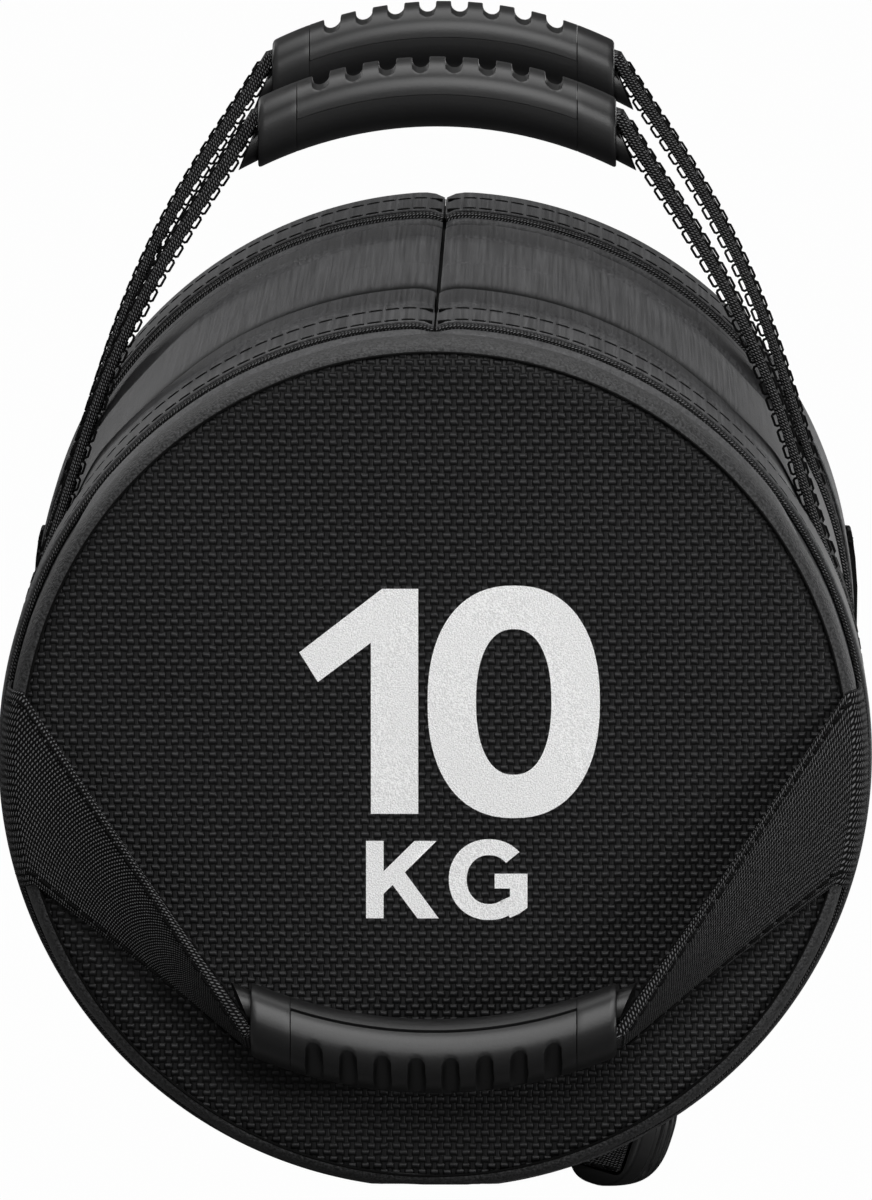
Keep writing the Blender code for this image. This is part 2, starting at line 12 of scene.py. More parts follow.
import bmesh
import bpy
from mathutils import Matrix, Vector, noise


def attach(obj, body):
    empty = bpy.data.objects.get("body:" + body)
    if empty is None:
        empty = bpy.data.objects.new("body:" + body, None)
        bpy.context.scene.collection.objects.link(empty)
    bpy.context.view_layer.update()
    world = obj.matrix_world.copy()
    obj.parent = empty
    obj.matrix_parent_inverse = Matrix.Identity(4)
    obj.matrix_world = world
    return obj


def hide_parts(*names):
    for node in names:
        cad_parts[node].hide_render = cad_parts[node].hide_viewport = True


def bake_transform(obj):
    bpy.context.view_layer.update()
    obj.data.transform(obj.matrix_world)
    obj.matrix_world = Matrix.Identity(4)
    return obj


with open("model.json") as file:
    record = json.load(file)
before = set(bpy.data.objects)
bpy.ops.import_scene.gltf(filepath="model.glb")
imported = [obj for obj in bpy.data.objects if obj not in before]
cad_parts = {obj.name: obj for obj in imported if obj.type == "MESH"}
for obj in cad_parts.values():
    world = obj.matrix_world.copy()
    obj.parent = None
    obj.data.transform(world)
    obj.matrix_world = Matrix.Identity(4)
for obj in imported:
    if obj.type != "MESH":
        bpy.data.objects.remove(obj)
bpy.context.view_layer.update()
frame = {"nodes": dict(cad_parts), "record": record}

# %% [markdown]
# ## The camera
#
# The photograph is taken almost straight at one end of the bag, from slightly above and from far
# away, because the far end looks only a little smaller than the near one. So a very long lens
# stands five and a half metres away. Blender fits its 36 mm sensor to the longer side of the image.

# %% Camera
camera_data = bpy.data.cameras.new("camera")
camera_data.sensor_width = 36
camera_data.lens = 595.9
camera_data.clip_end = 100
camera = bpy.data.objects.new("camera", camera_data)
camera.location = (0.037, -5.55, 0.6794)
camera.rotation_euler = (math.radians(90 - 5.32), 0, math.radians(0.395))
bpy.context.collection.objects.link(camera)
bpy.context.scene.camera = camera

# %% [markdown]
# ## Colours and nodes
#
# Colours are written as they look on a screen, as hex values, and one function turns them into
# the linear numbers that a renderer adds up. A small class holds a node tree and adds nodes to it:
# their settings are keywords, and a socket gets either a value or the output of another node.

# %% Helpers for materials
def linear(hex_color):
    """A screen colour such as "4a4a4a" as linear red, green, blue and alpha."""
    channels = [int(hex_color[i:i + 2], 16) / 255 for i in (0, 2, 4)]
    return (*[c / 12.92 if c <= 0.04045 else ((c + 0.055) / 1.055) ** 2.4 for c in channels], 1.0)


class Nodes:
    """A node tree, with short ways to add the nodes that are used most."""

    def __init__(self, tree):
        self.tree = tree

    def feed(self, node, socket, value):
        """Sets a node's socket to a value, or joins it to the output of another node."""
        if isinstance(value, bpy.types.NodeSocket):
            self.tree.links.new(value, node.inputs[socket])
        else:
            node.inputs[socket].default_value = value

    def node(self, kind, sockets=None, **settings):
        """A node with its settings and its sockets."""
        made = self.tree.nodes.new(kind)
        for name, value in settings.items():
            setattr(made, name, value)
        for socket, value in (sockets or {}).items():
            self.feed(made, socket, value)
        return made

    def add(self, kind, sockets=None, output=0, **settings):
        """An output of such a node, and the first one if nothing else is said."""
        return self.node(kind, sockets, **settings).outputs[output]

    def math(self, operation, first, second=0.5):
        """The output of one Math node."""
        return self.add("ShaderNodeMath", {0: first, 1: second}, operation=operation)

    def noise(self, place, scale, detail, output="Fac"):
        """Noise at a place, with so many spots to the metre and so many finer layers."""
        sockets = {"Vector": place, "Scale": scale, "Detail": detail}
        return self.add("ShaderNodeTexNoise", sockets, output)

    def between(self, value, start, end, low=0.0, high=1.0):
        """A number that goes from low to high while a value goes from start to end."""
        return self.add("ShaderNodeMapRange", {0: value, 1: start, 2: end, 3: low, 4: high})

    def ramp(self, factor, dark, light, start, end):
        """A colour that goes from dark to light while a factor goes from start to end."""
        made = self.node("ShaderNodeValToRGB", {"Fac": factor})
        for index, (position, hex_color) in enumerate(((start, dark), (end, light))):
            made.color_ramp.elements[index].position = position
            made.color_ramp.elements[index].color = linear(hex_color)
        return made.outputs["Color"]


class Finish(Nodes):
    """A new material, whose nodes feed its Principled shader."""

    def __init__(self, name, roughness, specular=0.5):
        self.material = bpy.data.materials.new(name)
        self.material.use_nodes = True
        super().__init__(self.material.node_tree)
        self.shader = self.tree.nodes["Principled BSDF"]
        self.give("Roughness", roughness)
        self.give("Specular IOR Level", specular)

    def give(self, socket, value):
        """Sets or joins a socket of the shader."""
        self.feed(self.shader, socket, value)

    def place(self):
        """The place of a point in its object, in metres."""
        return self.add("ShaderNodeTexCoord", output="Object")

    def bump(self, height, depth):
        """Joins a height to the shader's normal. The depth is the real one, in metres."""
        sockets = {"Height": height, "Distance": depth, "Strength": 1.0}
        self.give("Normal", self.add("ShaderNodeBump", sockets))

# %% [markdown]
# ## Coated cloth
#
# The cover is polyester cloth with a calendered vinyl face. Rollers press the vinyl on while the
# cloth runs past, and that leaves fine streaks along the run. To the eye it is a dark grey with
# a soft, wide gloss. The streaks are a noise that is stretched 170 times along the bag.

# %% Vinyl cloth
STRETCH_ALONG = (1.0, 0.006, 1.0)


def vinyl_cloth(name, dark, light, streak_depth):
    """Calendered vinyl with streaks along Y, a fine grain, and painted black shade in its folds."""
    made = Finish(name, 0.50)
    place = made.place()
    run = made.add("ShaderNodeMapping", {"Vector": place, "Scale": STRETCH_ALONG})
    streaks = made.noise(run, 1300.0, 5.0)
    cloudy = made.math("MULTIPLY", made.noise(place, 14.0, 2.0), 0.3)
    color = made.ramp(made.math("ADD", streaks, cloudy), dark, light, 0.38, 0.92)
    # Painted shade: the folds are painted near black and lose their reflection.
    crease = made.add("ShaderNodeAttribute", output="Fac", attribute_name="crease")
    folded = {"Factor": crease, 6: color, 7: linear("0a0a0a")}
    made.give("Base Color", made.add("ShaderNodeMix", folded, 2, data_type="RGBA"))
    made.give("Roughness", made.between(streaks, 0.0, 1.0, 0.42, 0.62))
    made.give("Specular IOR Level", made.between(crease, 0.0, 1.0, 0.25, 0.0))
    made.bump(made.math("ADD", streaks, made.noise(place, 2200.0, 1.0)), streak_depth)
    return made.material


body_vinyl = vinyl_cloth("calendered_vinyl_cloth", "2e2e2f", "545455", 0.00014)

# %% [markdown]
# ## Embossed basket weave
#
# The ends are cut from a heavier vinyl. A steel roller has embossed it like a basket weave: a
# rounded bar lies across, a flat one stands beside it, and so on every 3.4 mm. The rows are 1.8 mm
# high and every other one is moved by half. Heights come from the place alone, and the colour
# follows the height as painted light and shade: black in the valleys, lighter on the tops.

# %% Embossed vinyl
BRICK_LENGTH = 0.0034
BRICK_HEIGHT = 0.00179
STANDING_SHARE = 0.32
WANDER = 0.0009


def basket_height(made, across, up):
    """Bars that lie across, rounded, and between them bars that stand up, flat, with low gaps."""
    row = made.math("DIVIDE", up, BRICK_HEIGHT)
    shift = made.math("MULTIPLY", made.math("FLOOR", row), 0.5)
    column = made.math("ADD", made.math("DIVIDE", across, BRICK_LENGTH), shift)
    wave = made.math("SINE", made.math("MULTIPLY", column, math.pi))
    lying = made.math("ABSOLUTE", wave)
    climb = made.math("POWER", made.math("FRACT", row), 1.4)
    rounded = made.math("SINE", made.math("MULTIPLY", climb, math.pi))
    rounded = made.math("POWER", made.math("MAXIMUM", rounded, 0.0), 2.3)
    lying_bars = made.math("MULTIPLY", made.between(lying, 0.55, 0.80), rounded)
    standing_bars = made.math("MULTIPLY", made.between(lying, 0.55, 0.30), STANDING_SHARE)
    return made.math("ADD", lying_bars, standing_bars)


def embossed_vinyl(name):
    """Black vinyl, embossed about a third of a millimetre deep like a basket weave."""
    made = Finish(name, 0.42, 0.16)
    place = made.place()
    bent = made.noise(place, 260.0, 2.0, "Color")
    for operation, sockets in (("ADD", {1: (-0.5,) * 3}), ("SCALE", {"Scale": WANDER}),
                               ("ADD", {1: place})):
        bent = made.add("ShaderNodeVectorMath", {0: bent, **sockets}, operation=operation)
    axes = made.node("ShaderNodeSeparateXYZ", {"Vector": bent}).outputs
    height = basket_height(made, axes["X"], axes["Z"])
    # Painted light and shade: black valleys, lighter tops, with a random change of tone.
    relief_light_and_tone = made.math("MULTIPLY", height, made.math("ADD", made.noise(place, 700.0, 2.0), 0.35))
    made.give("Base Color", made.ramp(relief_light_and_tone, "020202", "363637", 0.04, 0.85))
    made.bump(height, 0.00035)
    return made.material


end_vinyl = embossed_vinyl("embossed_basket_vinyl")

# %% [markdown]
# ## Webbing
#
# Webbing is a narrow weave of thick polyester yarn. Its yarns come up every 0.9 mm or so, and
# their tops are painted as highlights, in rows of small slanting specks, light on black. The
# pattern follows the strap, so it reads the UV map, which every strap here carries in metres:
# along it, and across it.

# %% Woven polyester
YARN_PITCH = 0.00094


def woven_polyester(name, dark, light):
    """Slanting specks on a square grid that follows the UV map, painted as highlights."""
    made = Finish(name, 0.75, 0.12)
    place = made.place()
    wander = made.math("SUBTRACT", made.noise(place, 420.0, 1.0), 0.5)
    jitter = made.math("MULTIPLY", wander, 0.55)
    run = made.add("ShaderNodeUVMap", uv_map="along_and_across")
    axes = made.node("ShaderNodeSeparateXYZ", {"Vector": run}).outputs
    sides = []
    for label in ("X", "Y"):
        cell = made.math("ADD", made.math("DIVIDE", axes[label], YARN_PITCH), jitter)
        sides.append(made.math("SUBTRACT", made.math("FRACT", cell), 0.5))
    squares = []
    for operation, narrowing in (("ADD", 0.8), ("SUBTRACT", 2.3)):
        way = made.math("MULTIPLY", made.math(operation, *sides), narrowing)
        squares.append(made.math("MULTIPLY", way, way))
    height = made.between(made.math("ADD", *squares), 0.50, 0.06)
    lit = made.math("MULTIPLY", height, made.math("ADD", made.noise(place, 900.0, 2.0), 0.3))
    # Painted highlights: the tops of the yarns are painted light on black.
    made.give("Base Color", made.ramp(lit, dark, light, 0.10, 0.85))
    made.bump(height, 0.00025)
    return made.material


strap_webbing = woven_polyester("woven_polyester_webbing", "020202", "707071")
cut_webbing = woven_polyester("cut_webbing_edge", "0a0a0a", "747475")

# %% [markdown]
# ## Rubber, thread and print
#
# The grips are moulded rubber: even, satin, with a grain too fine to see that only softens the
# light. The thread is thick bonded polyester. The weight mark is a matt screen print, which takes
# on the grain of what it is printed on. What lies inside the bag gets its own finishes too.

# %% Plain materials with fine grain
def grained(name, dark, light, roughness, grain, depth, specular=0.5):
    """A plain finish whose colour and height vary a little over grains of a given size."""
    made = Finish(name, roughness, specular)
    fine = made.noise(made.place(), 1 / grain, 3.0)
    made.give("Base Color", made.ramp(fine, dark, light, 0.35, 0.65))
    made.bump(fine, depth)
    return made.material


grip_rubber = grained("moulded_grip_rubber", "0e0e0e", "141415", 0.40, 0.0006, 0.00002)
core_rubber = grained("extruded_core_rubber", "0e0e0e", "131313", 0.42, 0.0006, 0.00002)
black_thread = grained("bonded_polyester_thread", "020202", "060606", 0.80, 0.0004, 0.00004, 0.12)
white_print = grained("screen_printed_ink", "dedede", "ffffff", 0.80, 0.0004, 0.00030)
rim_vinyl = grained("rolled_vinyl_edge", "080808", "363637", 0.62, 0.0008, 0.00050)
hidden_finishes = {
    "wadding": grained("pressed_fibre_wadding", "a9a59c", "d2cfc6", 0.95, 0.0030, 0.00060),
    "liner_film": grained("woven_film_sack", "bcbcb6", "d6d6d2", 0.40, 0.0025, 0.00010),
    "sand": grained("dry_sand", "a8875a", "d6b987", 0.95, 0.0012, 0.00040),
    "tie_cord": grained("twisted_polyester_cord", "c9c9c4", "e6e6e2", 0.70, 0.0010, 0.00020),
    "coated_cloth": body_vinyl,
}
for part in frame["record"]["subparts"]:
    if part["material_slot"] in hidden_finishes:
        for piece_slot in frame["nodes"][part["node"]].material_slots:
            piece_slot.material = hidden_finishes[part["material_slot"]]
print("materials", len(bpy.data.materials))

# %% [markdown]
# ## Sizes shared with the CAD model
#
# A piece made again here sits where its CAD node is, so the same sizes are repeated, in metres.
# The bag's axis lies along Y, a little over 141 mm above the origin, which is level with the
# lowest grip.

# %% Sizes
AXIS_HEIGHT = 0.1413883
AXIS = Vector((0, 0, AXIS_HEIGHT))
BODY_RADIUS = 0.115
HALF_LENGTH = 0.250
WELT_DEPTH = 0.004
WELT_LENGTH = 0.010
FLAT_DEPTH = 0.0012
FIT_GAP = 0.0003
WEBBING_WIDTH = 0.050
WEBBING_THICKNESS = 0.0024
STRAP_MIDDLE = FIT_GAP + WEBBING_THICKNESS / 2
BAND_INSET = 0.025
BAND_EDGE = HALF_LENGTH - BAND_INSET
TOP_HANDLE_OFFSET = 0.130
LANDING = math.radians(23)
STRAP_HALF_ANGLE = math.radians(90) + LANDING
SEAM_REACH = 0.0075
ENDS = (("front", -1), ("rear", 1))

# %% [markdown]
# ## From rows of points to a mesh
#
# Most pieces here are made of rows of points. One function skins the rows with faces. It writes
# a UV map too, in metres: along the rows, and across them, so that a weave keeps its real size.
# The points are counted from the bag's axis, and the skin is lifted to the axis at the end.

# %% Skin rows of points
def skin(name, rows, material, around=False, ends=False, sharp=40):
    """A smooth mesh through rows of points. Around closes each row to a ring, ends caps them."""
    count = len(rows[0])
    along = [0.0]
    for row, following in zip(rows, rows[1:]):
        along.append(along[-1] + (following[count // 4] - row[count // 4]).length)
    middle = rows[len(rows) // 2]
    across = [0.0]
    for j in range(1, count + 1):
        across.append(across[-1] + (middle[j % count] - middle[j - 1]).length)
    faces, corners = [], []
    for i in range(len(rows) - 1):
        here, there = i * count, (i + 1) * count
        low, high = along[i], along[i + 1]
        for j in range(count if around else count - 1):
            k = (j + 1) % count
            faces.append((here + j, here + k, there + k, there + j))
            left, right = across[j], across[j + 1]
            corners += [(low, left), (low, right), (high, right), (high, left)]
    if ends:
        last = (len(rows) - 1) * count
        for cap in (list(range(count))[::-1], [last + j for j in range(count)]):
            faces.append(cap)
            corners += [(0.0, 0.0)] * count
    mesh = bpy.data.meshes.new(name)
    mesh.from_pydata([point + AXIS for row in rows for point in row], [], faces)
    layer = mesh.uv_layers.new(name="along_and_across")
    for corner, pair in zip(layer.data, corners):
        corner.uv = pair
    return finish_mesh(name, mesh, material, sharp)


def face_outwards(mesh, weld=None):
    """Turns all faces outwards, and may first weld the points that lie on each other."""
    bm = bmesh.new()
    bm.from_mesh(mesh)
    if weld:
        bmesh.ops.remove_doubles(bm, verts=bm.verts, dist=weld)
    bmesh.ops.recalc_face_normals(bm, faces=bm.faces)
    bm.to_mesh(mesh)
    bm.free()


def finish_mesh(name, mesh, material, sharp):
    """Turns all faces outwards, shades them smooth and links the object."""
    face_outwards(mesh)
    mesh.shade_smooth()
    mesh.set_sharp_from_angle(angle=math.radians(sharp))
    mesh.materials.append(material)
    made = bpy.data.objects.new(name, mesh)
    bpy.context.collection.objects.link(made)
    return made


def merge_seams(obj):
    """Welds a skin whose first and last rows lie on each other."""
    face_outwards(obj.data, weld=0.00001)
    return obj


def evaluated_mesh(obj):
    """A copy of an object's mesh as its modifiers or its curve settings leave it."""
    graph = bpy.context.evaluated_depsgraph_get()
    return bpy.data.meshes.new_from_object(obj.evaluated_get(graph))

# %% Places on and round the bag
def spread(first, last, count):
    """Numbers from first to last, evenly spread."""
    return [first + (last - first) * i / (count - 1) for i in range(count)]


def full_turn(count, start=0.0):
    """Angles all round, evenly spread."""
    return [start + 2 * math.pi * j / count for j in range(count)]


def smooth_step(value):
    """0 up to 0, 1 from 1 on, and a smooth rise between."""
    value = min(max(value, 0), 1)
    return value * value * (3 - 2 * value)


def rounded_point(turn, half_width, half_height, power):
    """A point of an outline that is an ellipse at power 2 and squarer above it."""
    c, s = math.cos(turn), math.sin(turn)
    return (math.copysign(abs(c) ** (2 / power), c) * half_width,
            math.copysign(abs(s) ** (2 / power), s) * half_height)


def turned(angle, radius=1.0, y=0.0):
    """A point round the axis, or a direction, at an angle from straight down towards +X."""
    return Vector((radius * math.sin(angle), y, -radius * math.cos(angle)))


def shell_radius(angle, offset):
    """Radius of the bag's skin plus an offset, at an angle from straight down. It is flat below."""
    if math.cos(angle) <= 0:
        return BODY_RADIUS + offset
    return min(BODY_RADIUS + offset, (BODY_RADIUS - FLAT_DEPTH + offset) / math.cos(angle))


def on_shell(angle, y, offset):
    """A point over the bag's skin."""
    return turned(angle, shell_radius(angle, offset), y)


def seam_dip(angle, reach, depth):
    """How far a surface dips towards the seam on top, within a reach in metres to either side."""
    away = (math.pi - abs(angle)) * BODY_RADIUS
    if away >= reach:
        return 0.0
    return depth * (1 - math.sqrt(1 - (1 - away / reach) ** 2))

# %% [markdown]
# ## The stuffed cover
#
# A stuffed cover isn't a clean tube. The filling presses it out, the webbing holds it in, and the
# cloth between them bulges and puckers a little. Cloth simulation makes exactly that: the tube is
# given a pressure inside, a little too much cloth, and is pinned where webbing holds it down.
# Afterwards each point is kept within one millimetre of the tube. The two long creases, the
# fuller places beside the front band and the seam on top are folded rather than blown up, so they
# are added to the result, and the creases get painted shade. The cloth's two edges turn in where
# they meet at the seam, painted dark as the shade inside the slit, and a narrow black strip below
# them stands for the sewn edges.

# %% The cover as simulated cloth
COVER_HALF = HALF_LENGTH - WELT_LENGTH - FIT_GAP
COVER_STEPS = 176
COVER_ROWS = 112
COVER_FRAMES = 20
SWELL_LIMIT = 0.0010
held_bands = [(end * (BAND_EDGE - WEBBING_WIDTH / 2), math.pi) for _, end in ENDS]
held_bands += [(end * TOP_HANDLE_OFFSET, STRAP_HALF_ANGLE) for _, end in ENDS]


def is_held(angle, y):
    """True where a rim, a band or a strap holds the cover down."""
    if abs(y) > BAND_EDGE - 0.001:
        return True
    half = WEBBING_WIDTH / 2
    return any(abs(y - middle) < half and abs(angle) <= reach for middle, reach in held_bands)


def blow_up(obj, held):
    """Runs the cloth simulation with pressure and no gravity, and gives the points it ends with."""
    group = obj.vertex_groups.new(name="held")
    group.add(held, 1.0, "REPLACE")
    cloth = obj.modifiers.new("Cloth", "CLOTH")
    cloth.settings.vertex_group_mass = "held"
    cloth.settings.use_pressure = True
    cloth.settings.uniform_pressure_force = 5.0
    cloth.settings.shrink_min = -0.012
    cloth.settings.tension_stiffness = 25
    cloth.settings.bending_stiffness = 0.6
    cloth.settings.effector_weights.gravity = 0
    cloth.point_cache.frame_end = COVER_FRAMES
    for number in range(1, COVER_FRAMES + 1):
        bpy.context.scene.frame_set(number)
    graph = bpy.context.evaluated_depsgraph_get()
    points = [vertex.co.copy() for vertex in obj.evaluated_get(graph).data.vertices]
    obj.modifiers.clear()
    obj.vertex_groups.clear()
    bpy.context.scene.frame_set(1)
    return points

# %% [markdown]
# The folds are a form of their own: how far each place stands out of the tube, or lies in it. A
# crease wanders a little on its way round. Its shade is painted into the colour, black on top,
# and it fades out down the sides.

# %% Folds of the cover
# Place along the bag, depth and width of each long crease
CREASES = ((-0.0805, 0.0005, 0.0095), (0.1620, 0.0010, 0.0030))
# Height of each full place on top, then its rear and front edge, each with the length of its rise
FULL_PLACES = ((0.0024, -0.108, 0.014, -0.2, 0.01), (0.0017, -0.2265, 0.004, -0.2395, 0.006))
# The step down at each rim, the fold along the seam on top, and the deepest that a place may lie
RIM_STEP = 0.0007
SEAM_FOLD = 0.0023
DEEPEST_FOLD = 0.0024
# The open slit of that seam, and how deep the points lie that turn in there
SEAM_GAP = 0.0010
TURNED_IN = (0.0030, 0.0015, 0.0004)
# The sewn edges below the seam: their half width, and their depth where a band lies on top or not
EDGES_HALF = 0.0030
EDGES_DEPTH = {True: 0.0012, False: 0.00245}
# Where along the bag the two bands cover the seam
UNDER_BANDS = ((-0.2245, -0.1755), (0.1760, 0.2450))


def crease_share(angle, y, middle, width):
    """How deep in a long crease a place of the cover is, from 0 beside it to 1 at its bottom."""
    wander = middle + 0.0012 * math.sin(3 * angle + 40 * middle)
    return math.exp(-((y - wander) / width) ** 2)


def cover_form(angle, y):
    """How far the sewn and folded places stand out of the tube, or in, at an angle and a place."""
    swell = -sum(depth * crease_share(angle, y, middle, width) for middle, depth, width in CREASES)
    upper = smooth_step((abs(angle) - math.radians(118)) / math.radians(12))
    for height, rear, rear_rise, front, front_rise in FULL_PLACES:
        raised = smooth_step((rear - y) / rear_rise) * smooth_step((y - front) / front_rise)
        swell += height * upper * raised
    swell -= RIM_STEP * smooth_step((abs(y) - 0.2260) / 0.0020)
    return max(swell - seam_dip(angle, SEAM_REACH, SEAM_FOLD), -DEEPEST_FOLD)


def painted_fold_shade(angle, y):
    """How dark the creases' painted shade is at a place. It fades out down the sides."""
    share = max(crease_share(angle, y, middle, width) for middle, _, width in CREASES)
    return 0.90 * share * smooth_step((abs(angle) - math.radians(105)) / math.radians(30))


def cover_point(angle, y, swells):
    """A point of the finished cover, with the simulated swelling between its grid points."""
    column = (angle + math.pi) / (2 * math.pi) * COVER_STEPS - 0.5
    line = min((y + COVER_HALF) / (2 * COVER_HALF) * (COVER_ROWS - 1), COVER_ROWS - 1.001)
    j, i = math.floor(column), math.floor(line)
    u, v = column - j, line - i
    at = [swells[(i + a) * COVER_STEPS + (j + b) % COVER_STEPS] for a in (0, 1) for b in (0, 1)]
    swell = (at[0] * (1 - u) + at[1] * u) * (1 - v) + (at[2] * (1 - u) + at[3] * u) * v
    return on_shell(angle, y, 0) + turned(angle) * (swell + cover_form(angle, y))


def cover_swells():
    """The simulated swelling at each point of a coarse grid."""
    angles = [-math.pi + 2 * math.pi * (j + 0.5) / COVER_STEPS for j in range(COVER_STEPS)]
    lines = spread(-COVER_HALF, COVER_HALF, COVER_ROWS)
    places = [(angle, y) for y in lines for angle in angles]
    swells = [0.0] * len(places)
    rows = [[on_shell(angle, y, 0) for angle in angles] for y in lines]
    tube = skin("cover_tube", rows, body_vinyl, around=True, sharp=180)
    held = [i for i, (angle, y) in enumerate(places) if is_held(angle, y)]
    for i, point in enumerate(blow_up(tube, held)):
        angle, y = places[i]
        swell = (point - on_shell(angle, y, 0) - AXIS).dot(turned(angle))
        swells[i] = 0.0 if is_held(angle, y) else min(max(swell, -SWELL_LIMIT), SWELL_LIMIT)
    bpy.data.objects.remove(tube)
    return swells


def add_cover():
    """The cover: a tube that is blown up, held, creased, and turned in along its seam."""
    swells = cover_swells()
    edge = SEAM_GAP / 2 / BODY_RADIUS
    near = [math.pi - edge - 0.0004 * k / BODY_RADIUS for k in (1, 2, 4, 6)]
    columns = spread(-math.pi + edge, math.pi - edge, 2 * COVER_STEPS + 1)
    columns = sorted(columns + near + [-angle for angle in near])
    rows, fold_shade_shares = [], []
    for y in spread(-COVER_HALF, COVER_HALF, 2 * COVER_ROWS - 1):
        row = [cover_point(angle, y, swells) for angle in columns]
        folds = []
        for corner in (row[0], row[-1]):
            inward = Vector((-corner.x, 0, -corner.z)).normalized()
            folds.append([corner + inward * depth for depth in TURNED_IN])
        rows.append(folds[0] + row + folds[1][::-1])
        # Painted shade: turned-in edges in the slit fully dark, creases as dark as their shade.
        fold_shade_shares += [1.0] * 3 + [painted_fold_shade(angle, y) for angle in columns] + [1.0] * 3
    cover = skin("stuffed_cover", rows, body_vinyl, sharp=180)
    cover.data.attributes.new("crease", "FLOAT", "POINT").data.foreach_set("value", fold_shade_shares)
    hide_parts("body_cover")
    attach(cover, "bag")
    swelling = round(max(swells) * 1000, 2)
    print("cover", len(cover.data.polygons), "faces, swelling up to", swelling, "mm")


def add_seam_strip():
    """The sewn edges under the seam on top: a black strip that closes the gap from inside."""
    rows = []
    for y in spread(-COVER_HALF, COVER_HALF, 90):
        radius = BODY_RADIUS - EDGES_DEPTH[any(low < y < high for low, high in UNDER_BANDS)]
        angles = [math.pi + EDGES_HALF * share / BODY_RADIUS for share in (-1, -0.5, 0, 0.5, 1)]
        rows.append([turned(angle, radius, y) for angle in angles])
    strip = skin("sewn_seam_edges", rows, black_thread)
    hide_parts("seam_tape")
    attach(strip, "bag")


add_cover()
add_seam_strip()

# %% [markdown]
# ## The rims
#
# At each end the cover is turned in and sewn to the round panel, and the fold is stuffed. That
# leaves a smooth rounded edge. It is a profile turned about the axis, with a slow wobble of a few
# tenths of a millimetre, because no sewn edge is perfectly round. In the groove between the rim
# and the panel lies the seam itself, a thin black ring.

# %% The rounded rims
RIM_STEPS = 240
# Depth and number of waves of the wobble, and whether the two ends differ in it
RIM_WAVES = ((0.00018, 9, 1), (0.00012, 23, 0))
GROOVE_RADIUS = BODY_RADIUS - WELT_DEPTH
GROOVE_DEPTH = 0.003
RIM_SEAM_REACH = 0.004
RIM_SEAM_DEPTH = 0.0003


def rim_section(turn, offset=0):
    """Radius and distance from mid-length over the rounded rim, from its face to its side."""
    radius = GROOVE_RADIUS + (WELT_DEPTH + offset) * math.sin(turn)
    return radius, HALF_LENGTH - WELT_LENGTH + (WELT_LENGTH + offset) * math.cos(turn)


def rim_reach(radius, angle, end):
    """The radius with its wobble, dipped at the seam on top and kept inside the bag's skin."""
    wobble = sum(depth * math.sin(waves * angle + end * differs)
                 for depth, waves, differs in RIM_WAVES)
    reach = radius - 0.0001 + wobble - seam_dip(angle, RIM_SEAM_REACH, RIM_SEAM_DEPTH)
    return min(reach, shell_radius(angle, 0))


def add_rim(side, end):
    """One rim, from behind the webbing to the groove where the end panel is sewn in."""
    profile = [(BODY_RADIUS, BAND_EDGE + 0.002), (BODY_RADIUS, HALF_LENGTH - WELT_LENGTH)]
    profile += [rim_section(math.radians(90 - 7.5 * i)) for i in range(1, 13)]
    profile += [(GROOVE_RADIUS - 0.0002, HALF_LENGTH - GROOVE_DEPTH)]
    angles = full_turn(RIM_STEPS, -math.pi)
    rows = [[turned(angle, rim_reach(radius, angle, end), end * y) for angle in angles]
            for radius, y in profile]
    rim = skin(side + "_rolled_rim", rows, rim_vinyl, around=True)
    rows = []
    for turn in spread(0, 2 * math.pi, 9):
        radius = GROOVE_RADIUS + 0.0004 * math.cos(turn)
        y = end * (HALF_LENGTH - 0.0003 + 0.0006 * math.sin(turn))
        rows.append([turned(angle, radius, y) for angle in full_turn(RIM_STEPS)])
    seam = merge_seams(skin(side + "_seam_groove", rows, black_thread, around=True))
    for piece in (rim, seam):
        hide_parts(side + "_rim_welt")
        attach(piece, "bag")


for side_name, end_sign in ENDS:
    add_rim(side_name, end_sign)

# %% [markdown]
# ## The end panels
#
# A round of embossed vinyl with wadding behind it: nearly flat, a little full in the middle, and
# pulled back into the groove along its edge. Its height is one function, because the weight mark
# printed on the front has to lie on the same surface.

# %% The end panels
PANEL_RADIUS = 0.1108
PANEL_PLANE = HALF_LENGTH - 0.0005
PANEL_FULLNESS = 0.0011
PANEL_PULL = 0.0007
PANEL_UNEVENNESS = 0.0005
PULLED_FROM = 0.965


def panel_height(x, z):
    """How far the panel stands forward of its plane: full inside, pulled back at the edge."""
    share = min(math.hypot(x, z) / PANEL_RADIUS, 1.0)
    full = PANEL_FULLNESS * (1 - share ** 2)
    edge = -PANEL_PULL * max((share - PULLED_FROM) / (1 - PULLED_FROM), 0) ** 2
    return full + edge + PANEL_UNEVENNESS * noise.noise(Vector((x * 22, z * 22, 3.0)))


def add_panel(side, end):
    """One end panel, as rings of points from its centre to its edge."""
    rings = [0.0005] + [PANEL_RADIUS * i / 44 for i in range(1, 43)]
    rows = []
    for radius in rings + [PANEL_RADIUS * 0.985, PANEL_RADIUS]:
        row = []
        for turn in full_turn(144):
            x, z = radius * math.cos(turn), radius * math.sin(turn)
            row.append(Vector((x, end * (PANEL_PLANE + panel_height(x, z)), z)))
        rows.append(row)
    back = [Vector((p.x, end * (HALF_LENGTH - 0.0040), p.z)) for p in rows[-1]]
    panel = skin(side + "_woven_face", rows + [back], end_vinyl, around=True, ends=True)
    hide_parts(side + "_end_panel")
    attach(panel, "bag")


for side_name, end_sign in ENDS:
    add_panel(side_name, end_sign)

# %% [markdown]
# ## The weight mark
#
# A bag's weight is printed large on its end, in plain figures. Straight strokes are drawn by their
# corners, and the round ones as a thick curve that is a little squarer than an ellipse. The
# outlines are filled, cut fine, and laid on the panel a tenth of a millimetre proud, like ink.

# %% Figures and letters as outlines
MARK_PROUD = 0.00012
MARK_CUT = 0.003
STROKE_STEPS = 72


